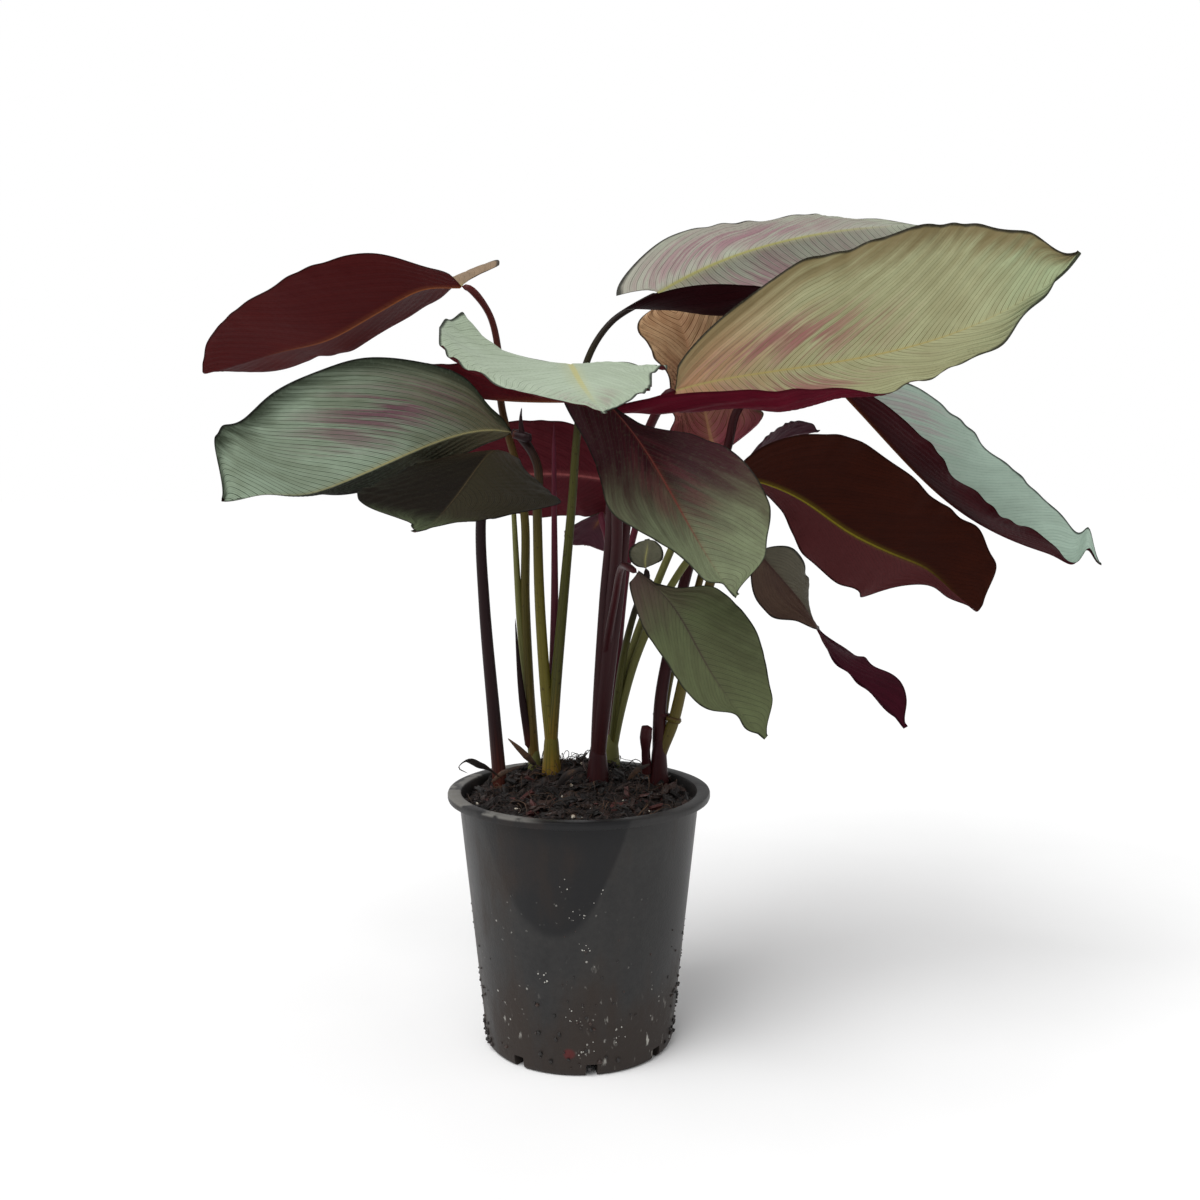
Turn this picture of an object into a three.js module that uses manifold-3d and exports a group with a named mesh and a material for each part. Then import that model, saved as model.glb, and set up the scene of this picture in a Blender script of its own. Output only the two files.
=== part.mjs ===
// Potted silverplate calathea: a nursery pot, its bark soil, six leafy shoots and their blades.
// Millimetres, +Z up, origin at the centre of the pot's base. +X is to the right and +Y to the back.

import * as THREE from 'three';
import { mergeVertices } from 'three/addons/utils/BufferGeometryUtils.js';
import Module from 'manifold-3d';

const wasm = await Module();
wasm.setup();

// Driving dimensions of the pot
const POT_HEIGHT = 137;
const RIM_RADIUS = 70;
const WALL_TOP_RADIUS = 64;
const BASE_RADIUS = 50.5;
const WALL = 1.6;
const LIP_DEPTH = 4;
const FLOOR = 5;
const POT_SIDES = 48;
const DRAINS = 8;
const DRAIN_WIDTH = 6;
const DRAIN_HEIGHT = 6.5;
const DRAIN_FIRST_ANGLE = -82;

// Driving dimensions of the soil
const SOIL_LEVEL = 130;
const MOUND_HEIGHT = 11;
const MOUND_SPREAD = 27;
const MOUND_CENTRE = [0, 42];
const SOIL_LUMPS = 1.3;
const SOIL_RINGS = 9;
const SOIL_SIDES = 44;
const CHIPS = 26;
const CHIP_SEED = 11;

// Gap kept between pieces that touch, and the depth that shoots stand in the soil
const GAP = 0.35;
const ROOT_DEPTH = 22;

// Leaf sheet
const BLADE_THICKNESS = 0.8;
const BLADE_ROWS = 16;
const SMALL_BLADE_ROWS = 9;
const FOOT_HALF_WIDTH = 1.4;
const LOBE_REACH = 0.16;
const RIB_HEIGHT = 1.1;
const OPEN_COLUMNS = [0, 0.1, 0.55, 1];
const CURLED_COLUMNS = [0, 0.1, 0.4, 0.7, 1];

// Stalks
const STALK_SIDES = 7;
const STALK_STEP = 22;

const COLOURS = {
  pot: 0x2f3032,
  soil: 0x2b1a13,
  silver: 0xa9b8a0,
  olive: 0x58603f,
  burgundy: 0x4a161d,
  mauve: 0x5b3440,
  tan: 0xb09068,
  stalkOlive: 0x5f5f28,
  stalkDark: 0x3a141b,
};

function material(colour, roughness) {
  return new THREE.MeshStandardMaterial({ color: colour, roughness, metalness: 0 });
}

function radians(degrees) {
  return (degrees * Math.PI) / 180;
}

function vec(list) {
  return new THREE.Vector3(list[0], list[1], list[2]);
}

// A fixed sequence of numbers from 0 to 1, the same on each run
function seededRandom(seed) {
  let state = seed;
  return () => {
    state = (state * 1103515245 + 12345) % 2147483648;
    return state / 2147483648;
  };
}

// Closed geometry to solid and back, for joins and cuts
function toSolid(geometry) {
  const bare = geometry.clone();
  bare.deleteAttribute('normal');
  bare.deleteAttribute('uv');
  const merged = mergeVertices(bare, 1e-4);
  return new wasm.Manifold(new wasm.Mesh({
    numProp: 3,
    vertProperties: new Float32Array(merged.attributes.position.array),
    triVerts: new Uint32Array(merged.index.array),
  }));
}

function toGeometry(solid) {
  const mesh = solid.getMesh();
  const geometry = new THREE.BufferGeometry();
  geometry.setAttribute('position', new THREE.BufferAttribute(new Float32Array(mesh.vertProperties), 3));
  geometry.setIndex(new THREE.BufferAttribute(new Uint32Array(mesh.triVerts), 1));
  return geometry;
}

function indexedGeometry(points, triangles) {
  const geometry = new THREE.BufferGeometry();
  const positions = points.flatMap((point) => [point.x, point.y, point.z]);
  geometry.setAttribute('position', new THREE.Float32BufferAttribute(positions, 3));
  geometry.setIndex(triangles);
  return geometry;
}

function joinAll(solids) {
  return solids.reduce((whole, next) => whole.add(next));
}

// Pot: a turned thin wall with a rolled lip, a foot ring and drain slots round the foot
function potGeometry() {
  const lipBottom = POT_HEIGHT - LIP_DEPTH;
  const innerTop = WALL_TOP_RADIUS - WALL;
  const innerFoot = BASE_RADIUS - WALL;
  const profile = [
    [0, 0], [28, 0], [30, 2.4], [40, 2.4], [42, 0],
    [BASE_RADIUS - 2.6, 0], [BASE_RADIUS - 0.8, 0.8], [BASE_RADIUS, 2.6],
    [WALL_TOP_RADIUS, lipBottom], [RIM_RADIUS - 0.7, lipBottom + 0.1], [RIM_RADIUS, lipBottom + 0.9],
    [RIM_RADIUS, POT_HEIGHT - 1], [RIM_RADIUS - 1, POT_HEIGHT], [innerTop + 1.6, POT_HEIGHT],
    [innerTop + 0.3, POT_HEIGHT - 1.4], [innerTop, lipBottom],
    [innerFoot, FLOOR + 1.5], [innerFoot - 1.5, FLOOR], [0, FLOOR],
  ];
  const turned = new THREE.LatheGeometry(profile.map(([r, z]) => new THREE.Vector2(r, z)), POT_SIDES);
  turned.rotateX(Math.PI / 2);
  let solid = toSolid(turned);
  for (let i = 0; i < DRAINS; i += 1) {
    const slot = new THREE.BoxGeometry(20, DRAIN_WIDTH, DRAIN_HEIGHT + 2);
    slot.translate(BASE_RADIUS - 6, 0, DRAIN_HEIGHT / 2 - 1);
    slot.rotateZ(radians(DRAIN_FIRST_ANGLE + (360 / DRAINS) * i));
    solid = solid.subtract(toSolid(slot));
  }
  return toGeometry(solid);
}

// Height of the bare soil: nearly level, with a mound where the shoots stand and soft lumps
function soilHeight(x, y) {
  const away = ((x - MOUND_CENTRE[0]) ** 2) / 2.2 + (y - MOUND_CENTRE[1]) ** 2;
  const mound = MOUND_HEIGHT * Math.exp(-away / MOUND_SPREAD ** 2);
  const lumps = Math.sin(x * 0.31 + 1.7) * Math.cos(y * 0.27) + 0.6 * Math.sin(x * 0.63 - y * 0.51);
  return SOIL_LEVEL + mound + SOIL_LUMPS * lumps;
}

function soilRadius(z) {
  const foot = BASE_RADIUS - WALL;
  const top = WALL_TOP_RADIUS - WALL;
  const share = (z - FLOOR) / (POT_HEIGHT - LIP_DEPTH - FLOOR);
  return foot + (top - foot) * Math.min(share, 1) - GAP - 0.5;
}

function soilGeometry() {
  const points = [];
  const triangles = [];
  const rim = soilRadius(SOIL_LEVEL);
  const bottom = FLOOR + GAP;
  const next = (k) => (k + 1) % SOIL_SIDES;
  points.push(new THREE.Vector3(0, 0, soilHeight(0, 0)));
  for (let i = 1; i <= SOIL_RINGS; i += 1) {
    for (let k = 0; k < SOIL_SIDES; k += 1) {
      const angle = (2 * Math.PI * k) / SOIL_SIDES;
      const x = (rim * i * Math.cos(angle)) / SOIL_RINGS;
      const y = (rim * i * Math.sin(angle)) / SOIL_RINGS;
      points.push(new THREE.Vector3(x, y, soilHeight(x, y)));
    }
  }
  for (let k = 0; k < SOIL_SIDES; k += 1) {
    const angle = (2 * Math.PI * k) / SOIL_SIDES;
    const foot = soilRadius(bottom) - 1.5;
    points.push(new THREE.Vector3(foot * Math.cos(angle), foot * Math.sin(angle), bottom));
  }
  points.push(new THREE.Vector3(0, 0, bottom));
  const at = (ring, k) => 1 + (ring - 1) * SOIL_SIDES + k;
  for (let k = 0; k < SOIL_SIDES; k += 1) {
    triangles.push(0, at(1, k), at(1, next(k)));
    for (let i = 1; i <= SOIL_RINGS; i += 1) {
      triangles.push(at(i, k), at(i + 1, k), at(i + 1, next(k)));
      triangles.push(at(i, k), at(i + 1, next(k)), at(i, next(k)));
    }
    triangles.push(at(SOIL_RINGS + 1, k), points.length - 1, at(SOIL_RINGS + 1, next(k)));
  }
  return indexedGeometry(points, triangles);
}

// Bark chip: a small wedge, laid at a chance angle and half sunk in the soil
function chipSolid(random) {
  const reach = 56 * Math.sqrt(random());
  const turn = 2 * Math.PI * random();
  const x = reach * Math.cos(turn);
  const y = reach * Math.sin(turn);
  const length = 5 + 8 * random();
  const chip = new THREE.BoxGeometry(length, 2.5 + 3.5 * random(), 1.6 + 1.8 * random());
  const position = chip.attributes.position;
  for (let i = 0; i < position.count; i += 1) {
    const taper = position.getX(i) > 0 ? 0.55 : 1;
    position.setXYZ(i, position.getX(i), position.getY(i) * taper, position.getZ(i) * taper);
  }
  chip.rotateX(radians(50 * (random() - 0.5)));
  chip.rotateY(radians(44 * (random() - 0.5)));
  chip.rotateZ(2 * Math.PI * random());
  chip.translate(x, y, soilHeight(x, y) + 0.3);
  return toSolid(chip);
}

// Tube with a changing radius along a smooth curve through hand-chosen points
function tubeSolid(points, radii) {
  const curve = new THREE.CatmullRomCurve3(points.map(vec));
  const steps = Math.max(3, Math.round(curve.getLength() / STALK_STEP));
  const frames = curve.computeFrenetFrames(steps, false);
  const rings = [];
  const triangles = [];
  for (let i = 0; i <= steps; i += 1) {
    const share = i / steps;
    const centre = curve.getPointAt(share);
    const radius = radii[0] + (radii[1] - radii[0]) * share ** 0.8;
    for (let k = 0; k < STALK_SIDES; k += 1) {
      const angle = (2 * Math.PI * k) / STALK_SIDES;
      rings.push(centre.clone()
        .addScaledVector(frames.normals[i], radius * Math.cos(angle))
        .addScaledVector(frames.binormals[i], radius * Math.sin(angle)));
    }
  }
  const first = rings.length;
  rings.push(curve.getPointAt(0), curve.getPointAt(1));
  for (let k = 0; k < STALK_SIDES; k += 1) {
    const next = (k + 1) % STALK_SIDES;
    for (let i = 0; i < steps; i += 1) {
      const a = i * STALK_SIDES;
      const b = a + STALK_SIDES;
      triangles.push(a + k, a + next, b + next);
      triangles.push(a + k, b + next, b + k);
    }
    const end = steps * STALK_SIDES;
    triangles.push(first, next, k);
    triangles.push(first + 1, end + k, end + next);
  }
  return toSolid(indexedGeometry(rings, triangles));
}

// Curve and direction of a blade's rib: a cubic that passes through four points
function ribAt(rib, t) {
  const [p0, p1, p2, p3] = rib.map(vec);
  const b1 = p0.clone().multiplyScalar(-5).addScaledVector(p1, 18)
    .addScaledVector(p2, -9).addScaledVector(p3, 2).divideScalar(6);
  const b2 = p0.clone().multiplyScalar(2).addScaledVector(p1, -9)
    .addScaledVector(p2, 18).addScaledVector(p3, -5).divideScalar(6);
  const curve = new THREE.CubicBezierCurve3(p0, b1, b2, p3);
  return { point: curve.getPoint(t), along: curve.getTangent(t) };
}

// Value at t of a smooth change through the values at the foot, the middle and the tip
function blend(values, t) {
  const [foot, middle, tip] = values;
  return foot * (2 * (t - 0.5) * (t - 1)) - middle * (4 * t * (t - 1)) + tip * (2 * t * (t - 0.5));
}

// Share of the full half-width at t, from the foot to the tip
function outline(t, belly, full, drip) {
  const across = 2 * t ** belly - 1;
  const round = Math.max(0, 1 - across * across) ** full;
  return round * (1 - 0.8 * Math.exp(-(((1 - t) / drip) ** 2)));
}

// How near t is to the place of a swell or sway, from 0 to 1
function nearness(t, { place, reach }) {
  return Math.exp(-(((t - place) / reach) ** 2));
}

// Point and upward direction of a blade's middle surface; s runs from -1 at the left margin to 1
function bladeAt(leaf, t, s) {
  const { point, along } = ribAt(leaf.rib, t);
  for (const sway of leaf.bends) {
    point.addScaledVector(vec(sway.shift), nearness(t, sway));
  }
  const face = new THREE.Vector3(
    blend(leaf.face.map((f) => f[0]), t),
    blend(leaf.face.map((f) => f[1]), t),
    blend(leaf.face.map((f) => f[2]), t),
  );
  const side = along.clone().cross(face).normalize();
  const up = side.clone().cross(along);
  const half = s < 0 ? leaf.left : leaf.right;
  const sign = s < 0 ? -1 : 1;
  const a = Math.abs(s);
  const share = outline(t, half.belly, leaf.full, leaf.drip);
  const wider = half.bumps.reduce((sum, swell) => sum + swell.wider * nearness(t, swell), 0);
  const lifted = half.bumps.reduce((sum, swell) => sum + swell.lifted * nearness(t, swell), 0);
  const width = Math.max(half.width * share + wider * share ** 0.3, FOOT_HALF_WIDTH);
  const rise = radians(blend(half.rise, t));
  const curl = radians(blend(half.curl, t)) || 1e-3;
  const angle = rise + curl * a;
  const out = ((Math.sin(angle) - Math.sin(rise)) / curl) * width;
  const lift = ((Math.cos(rise) - Math.cos(angle)) / curl) * width;
  const upward = up.clone().multiplyScalar(Math.cos(angle)).addScaledVector(side, -sign * Math.sin(angle));
  const lobe = half.lobe * Math.exp(-((t / LOBE_REACH) ** 2)) * a ** 1.6 * Math.min(1, t / 0.02);
  const ripple = leaf.wave.height * Math.sin(2 * Math.PI * (leaf.wave.count * t + leaf.wave.phase
    + (s < 0 ? 0.37 : 0)));
  const wave = (ripple * Math.sqrt(Math.sin(Math.PI * t)) + lifted) * a ** 3;
  point.addScaledVector(side, sign * out).addScaledVector(up, lift)
    .addScaledVector(along, half.sweep * a * share - lobe).addScaledVector(upward, wave);
  return { point, upward };
}

// Blade: the middle surface thickened to a thin closed sheet, with the rib standing out underneath
function bladeGeometry(leaf) {
  const rows = leaf.small ? SMALL_BLADE_ROWS : BLADE_ROWS;
  const outward = leaf.curled ? CURLED_COLUMNS : OPEN_COLUMNS;
  const columns = [...outward.slice(1).reverse().map((s) => -s), ...outward];
  const count = columns.length;
  const layer = (rows + 1) * count;
  const points = [];
  const under = [];
  for (let i = 0; i <= rows; i += 1) {
    const u = i / rows;
    const t = 0.6 * u + 0.4 * (0.5 - 0.5 * Math.cos(Math.PI * u));
    for (const s of columns) {
      const { point, upward } = bladeAt(leaf, t, s);
      const ridge = s === 0 ? RIB_HEIGHT * (1 - 0.8 * t) : 0;
      points.push(point.clone().addScaledVector(upward, BLADE_THICKNESS / 2));
      under.push(point.clone().addScaledVector(upward, -BLADE_THICKNESS / 2 - ridge));
    }
  }
  points.push(...under);
  const triangles = [];
  const quad = (a, b, c, d) => triangles.push(a, b, c, a, c, d);
  for (let i = 0; i < rows; i += 1) {
    for (let k = 0; k < count - 1; k += 1) {
      const a = i * count + k;
      quad(a, a + 1, a + count + 1, a + count);
      triangles.push(layer + a, layer + a + count + 1, layer + a + 1);
      triangles.push(layer + a, layer + a + count, layer + a + count + 1);
    }
    const l = i * count;
    const r = l + count - 1;
    quad(l, l + count, layer + l + count, layer + l);
    quad(r, layer + r, layer + r + count, r + count);
  }
  for (let k = 0; k < count - 1; k += 1) {
    const end = rows * count + k;
    quad(k, layer + k, layer + k + 1, k + 1);
    quad(end, end + 1, layer + end + 1, layer + end);
  }
  const geometry = indexedGeometry(points, triangles);
  if (toSolid(geometry).volume() < 0) geometry.setIndex(triangles.reverse());
  return geometry;
}

// Leaf values: the rib's four points, the way the upper face looks, and each half's width and fold.
// A half rises from the rib by rise degrees and bends by curl more degrees out to its margin.
function half(width, rise, curl, { lobe = 0, sweep = 0, belly = 0.8, bumps = [] } = {}) {
  const three = (value) => (Array.isArray(value) ? value : [value, value, value]);
  return { width, rise: three(rise), curl: three(curl), lobe, sweep, belly, bumps };
}

// One swell of a margin: its place from foot to tip, its reach, and the mm by which it is wider and lifted
function bump(place, reach, wider, lifted = 0) {
  return { place, reach, wider, lifted };
}

// One sway of a rib: its place, its reach and its shift in mm
function bend(place, reach, shift) {
  return { place, reach, shift };
}

function leaf(name, colour, rib, face, left, right, options = {}) {
  const faces = Array.isArray(face[0]) ? face : [face, face, face];
  const plain = { full: 0.62, drip: 0.05, small: false, curled: false, bends: [] };
  const wave = { height: 1.2, count: 3, phase: 0.2 };
  return { name, colour, rib, face: faces, left, right, wave, ...plain, ...options };
}

const LEAVES = [
  leaf('blade_high_left', 'burgundy',
    [[-63, 25, 404], [-112, 50, 395], [-169, 75, 378], [-224, 95, 364]], [0, 0.35, 0.94],
    half(42, [12, 8, 15], 0, { lobe: 2, bumps: [
      bump(0.1, 0.09, -11), bump(0.4, 0.12, 7), bump(0.6, 0.22, 7), bump(0.98, 0.03, 8),
    ] }),
    half(44, [55, 14, 22], 0, { lobe: 18, bumps: [
      bump(0.05, 0.05, 8), bump(0.23, 0.08, 8), bump(0.5, 0.16, -18), bump(0.66, 0.07, -6),
      bump(0.96, 0.03, -8),
    ] }),
    { bends: [bend(0.17, 0.12, [0, 0, 4]), bend(0.52, 0.15, [0, 0, -5])] }),
  leaf('blade_broad_left', 'silver',
    [[-37, 24, 327], [-80, 5, 319], [-127, -20, 297], [-174, -45, 290]],
    [[0, -0.93, -0.35], [0, -0.93, -0.35], [0, -0.95, 0.1]],
    half(14, [0, -20, -150], [-10, -20, -30], { sweep: 4, belly: 0.9, bumps: [
      bump(0.62, 0.1, -4), bump(0.8, 0.12, -6),
    ] }),
    half(58, -25, 10, { sweep: 23, belly: 1.15, bumps: [
      bump(0.3, 0.1, 3), bump(0.72, 0.15, -9), bump(0.87, 0.05, -5), bump(0.04, 0.04, -9),
    ] }),
    {
      full: 0.5,
      drip: 0.03,
      wave: { height: 1.5, count: 3, phase: 0.2 },
      bends: [bend(0.87, 0.1, [0, 0, 5])],
    }),
  leaf('blade_low_left', 'olive',
    [[-43, 8, 317], [-50, -28, 308], [-60, -70, 289], [-70, -115, 279]], [0, -0.22, 0.97],
    half(46, [-10, 0, 15], [-10, 0, 0], { lobe: 2, sweep: 14, belly: 1.05, bumps: [
      bump(0.2, 0.12, -10), bump(0.5, 0.06, 6), bump(0.66, 0.06, -11),
      bump(0.84, 0.13, -26),
    ] }),
    half(56, [-8, -2, 15], [-10, 0, 0], { lobe: 6, belly: 0.75, bumps: [
      bump(0.3, 0.15, -16), bump(0.52, 0.08, -4), bump(0.88, 0.08, -20),
    ] }),
    { full: 0.8, wave: { height: 1, count: 3, phase: 0.4 } }),
  leaf('blade_front_centre', 'silver',
    [[-3, -33, 357], [-1, -85, 352], [5, -138, 339], [13, -175, 327]], [0.05, -0.25, 0.96],
    half(32, [0, 5, 5], 0, { lobe: 3, bumps: [
      bump(0.15, 0.08, -10), bump(0.38, 0.1, 10), bump(0.9, 0.1, -6),
    ] }),
    half(63, -2, 16, { lobe: 3, bumps: [
      bump(0.12, 0.08, -2, 2), bump(0.25, 0.05, -4, 7), bump(0.38, 0.2, 0, 12),
      bump(0.75, 0.1, -12), bump(0.9, 0.07, -26),
    ] }),
    { wave: { height: 1, count: 3, phase: 0.4 } }),
  leaf('blade_hidden_left', 'burgundy',
    [[10, -5, 342], [-25, 15, 343], [-68, 32, 348], [-112, 46, 364]], [0, 0, 1],
    half(22, 55, 0), half(24, 50, 0)),
  leaf('blade_front_dark', 'olive',
    [[5, -54, 345], [31, -75, 317], [51, -100, 281], [70, -125, 252]], [-0.1, -0.85, 0.5],
    half(40, 0, -10, { lobe: 4, belly: 2, bumps: [
      bump(0.2, 0.12, -14), bump(0.28, 0.05, -5), bump(0.47, 0.1, 4), bump(0.85, 0.12, -9),
    ] }),
    half(25, [-15, -25, -50], -10, { lobe: 14, belly: 0.85, bumps: [
      bump(0.45, 0.1, 5), bump(0.75, 0.16, -10), bump(0.92, 0.05, -8),
    ] })),
  leaf('blade_low_front', 'olive',
    [[29, -60, 257], [49, -75, 237], [63, -85, 212], [88, -90, 183]], [-0.1, -0.9, 0.4],
    half(28, 0, 0, { lobe: 3, belly: 1.2, bumps: [
      bump(0.12, 0.1, -14), bump(0.21, 0.05, -5), bump(0.96, 0.05, 5),
    ] }),
    half(17, -20, 0, { lobe: 3, bumps: [
      bump(0.2, 0.15, 2.5), bump(0.87, 0.06, -8),
    ] })),
  leaf('blade_small_grey', 'silver',
    [[36, 20, 254], [36, 23, 259], [37, 26, 264], [37, 29, 269]], [0, -0.8, 0.6],
    half(9.5, 0, 0, { belly: 0.9 }), half(9.5, 0, 0, { belly: 0.9 }),
    { small: true, wave: { height: 0.4, count: 2, phase: 0 } }),
  leaf('blade_dark_right', 'burgundy',
    [[86, 8, 302], [126, 32, 289], [178, 55, 260], [234, 76, 224]], [0, 0.74, 0.67],
    half(44, [35, 2, 25], 0, { lobe: 2, belly: 0.85, bumps: [
      bump(0.2, 0.24, -28), bump(0.35, 0.1, -4), bump(0.52, 0.12, -6),
      bump(0.755, 0.03, 12), bump(0.86, 0.08, -20), bump(0.95, 0.04, -5),
    ] }),
    half(50, 17, 0, { lobe: 8, sweep: 6, belly: 1, bumps: [
      bump(0.42, 0.12, -4), bump(0.62, 0.1, -8), bump(0.74, 0.05, -5), bump(0.97, 0.06, 17),
    ] }),
    { bends: [bend(0.5, 0.15, [0, 0, -4]), bend(0.8, 0.1, [0, 0, 4])] }),
  leaf('blade_hidden_right', 'mauve',
    [[90, 60, 307], [104, 72, 317], [119, 83, 326], [142, 95, 330]], [0, 0.5, 0.86],
    half(17, 8, 0),
    half(17, 8, 0, { bumps: [
      bump(0.25, 0.15, 5),
    ] }),
    { small: true, wave: { height: 0.5, count: 2, phase: 0 } }),
  leaf('blade_long_right', 'silver',
    [[147, 46, 349], [193, 62, 305], [237, 68, 273], [300, 62, 252]], [0, -0.33, 0.94],
    half(47, 45, 0, { lobe: 4, bumps: [
      bump(0.25, 0.15, 5), bump(0.8, 0.15, 2), bump(0.96, 0.03, 12),
    ] }),
    half(39, 33, 0, { lobe: 4, bumps: [
      bump(0.35, 0.15, -9), bump(0.55, 0.08, -5), bump(0.91, 0.04, -14),
    ] }),
    {
      wave: { height: 1.5, count: 4, phase: 0.2 },
      bends: [bend(0.93, 0.04, [0, 0, -3]), bend(0.965, 0.02, [0, 0, 9])],
    }),
  leaf('blade_broad_right', 'silver',
    [[49, -25, 346], [114, -20, 358], [187, -12, 374], [260, 5, 416]],
    [[-0.1, -0.85, 0.5], [-0.1, -0.9, 0.4], [-0.1, -0.95, 0.3]],
    half(63, [4, 6, 0], 0, { lobe: 4, sweep: 26, belly: 1.05, bumps: [
      bump(0.31, 0.12, 5), bump(0.37, 0.05, -2), bump(0.87, 0.08, -8),
    ] }),
    half(52, [-20, -8, 35], [150, 85, -100], { lobe: 44, sweep: -10, belly: 0.72, bumps: [
      bump(0.17, 0.05, -3), bump(0.28, 0.06, 8), bump(0.42, 0.06, -6),
      bump(0.55, 0.08, -16), bump(0.7, 0.1, -20), bump(0.87, 0.1, -25),
      bump(0.95, 0.03, -5),
    ] }),
    {
      full: 0.57,
      curled: true,
      wave: { height: 2.5, count: 3, phase: 0.2 },
      bends: [bend(1, 0.03, [0, 0, 3])],
    }),
  leaf('blade_young_pleated', 'tan',
    [[77, 60, 314], [71, 66, 341], [63, 74, 374], [51, 84, 408]], [0, -0.95, 0.3],
    half(34, 10, [90, 30, 0], { belly: 1.6, bumps: [
      bump(0.12, 0.12, 32), bump(0.55, 0.18, -14), bump(0.75, 0.08, -6),
    ] }),
    half(34, 10, [90, 30, 0], { belly: 1.6, bumps: [
      bump(0.12, 0.12, 34), bump(0.38, 0.12, 8), bump(0.57, 0.14, -6),
    ] }),
    { full: 0.5, curled: true }),
  leaf('blade_top_back', 'silver',
    [[42, 25, 401], [90, 40, 425], [142, 55, 439], [194, 70, 445]], [-0.1, -0.45, 0.88],
    half(42, [28, 4, -4], 0, { lobe: 22, bumps: [
      bump(0.1, 0.1, -3), bump(0.43, 0.08, -9), bump(0.77, 0.06, 8), bump(0.93, 0.04, -8),
    ] }),
    half(60, [-66, -80, -40], [210, 92, -60], { lobe: 30, bumps: [
      bump(0.15, 0.12, 22),
    ] }),
    { curled: true, wave: { height: 1.5, count: 4, phase: 0.2 } }),
  leaf('blade_twisted_right', 'burgundy',
    [[95, 4, 263], [118, 8, 238], [148, 20, 206], [182, 30, 164]],
    [[-0.6, -2.6, 1.2], [0.75, -0.1, 0.65], [0.2, 0.9, 0.3]],
    half(18, [20, 0, 0], 0, { bumps: [
      bump(0.1, 0.1, 3), bump(0.38, 0.06, 7), bump(0.47, 0.04, -14), bump(0.7, 0.22, -14),
    ] }),
    half(18, [20, 10, 10], 0, { bumps: [
      bump(0.22, 0.15, 11), bump(0.48, 0.04, -14), bump(0.58, 0.06, 9), bump(0.8, 0.15, 8),
    ] }),
    { wave: { height: 1, count: 3, phase: 0.2 }, bends: [bend(0.65, 0.2, [-5, 0, -5])] }),
  leaf('blade_back_burgundy', 'burgundy',
    [[25, 52, 300], [-12, 67, 305], [-53, 82, 301], [-94, 97, 279]], [0, 0.8, 0.6],
    half(36, 5, 0, { lobe: 4 }), half(36, 5, 0, { lobe: 4 })),
  leaf('blade_back_small', 'mauve',
    [[13, 60, 283], [10, 72, 277], [6, 84, 270], [3, 95, 262]], [0, 0.8, 0.5],
    half(20, -15, -30), half(20, -15, -30),
    { small: true, wave: { height: 0.5, count: 2, phase: 0 } }),
];

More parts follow.
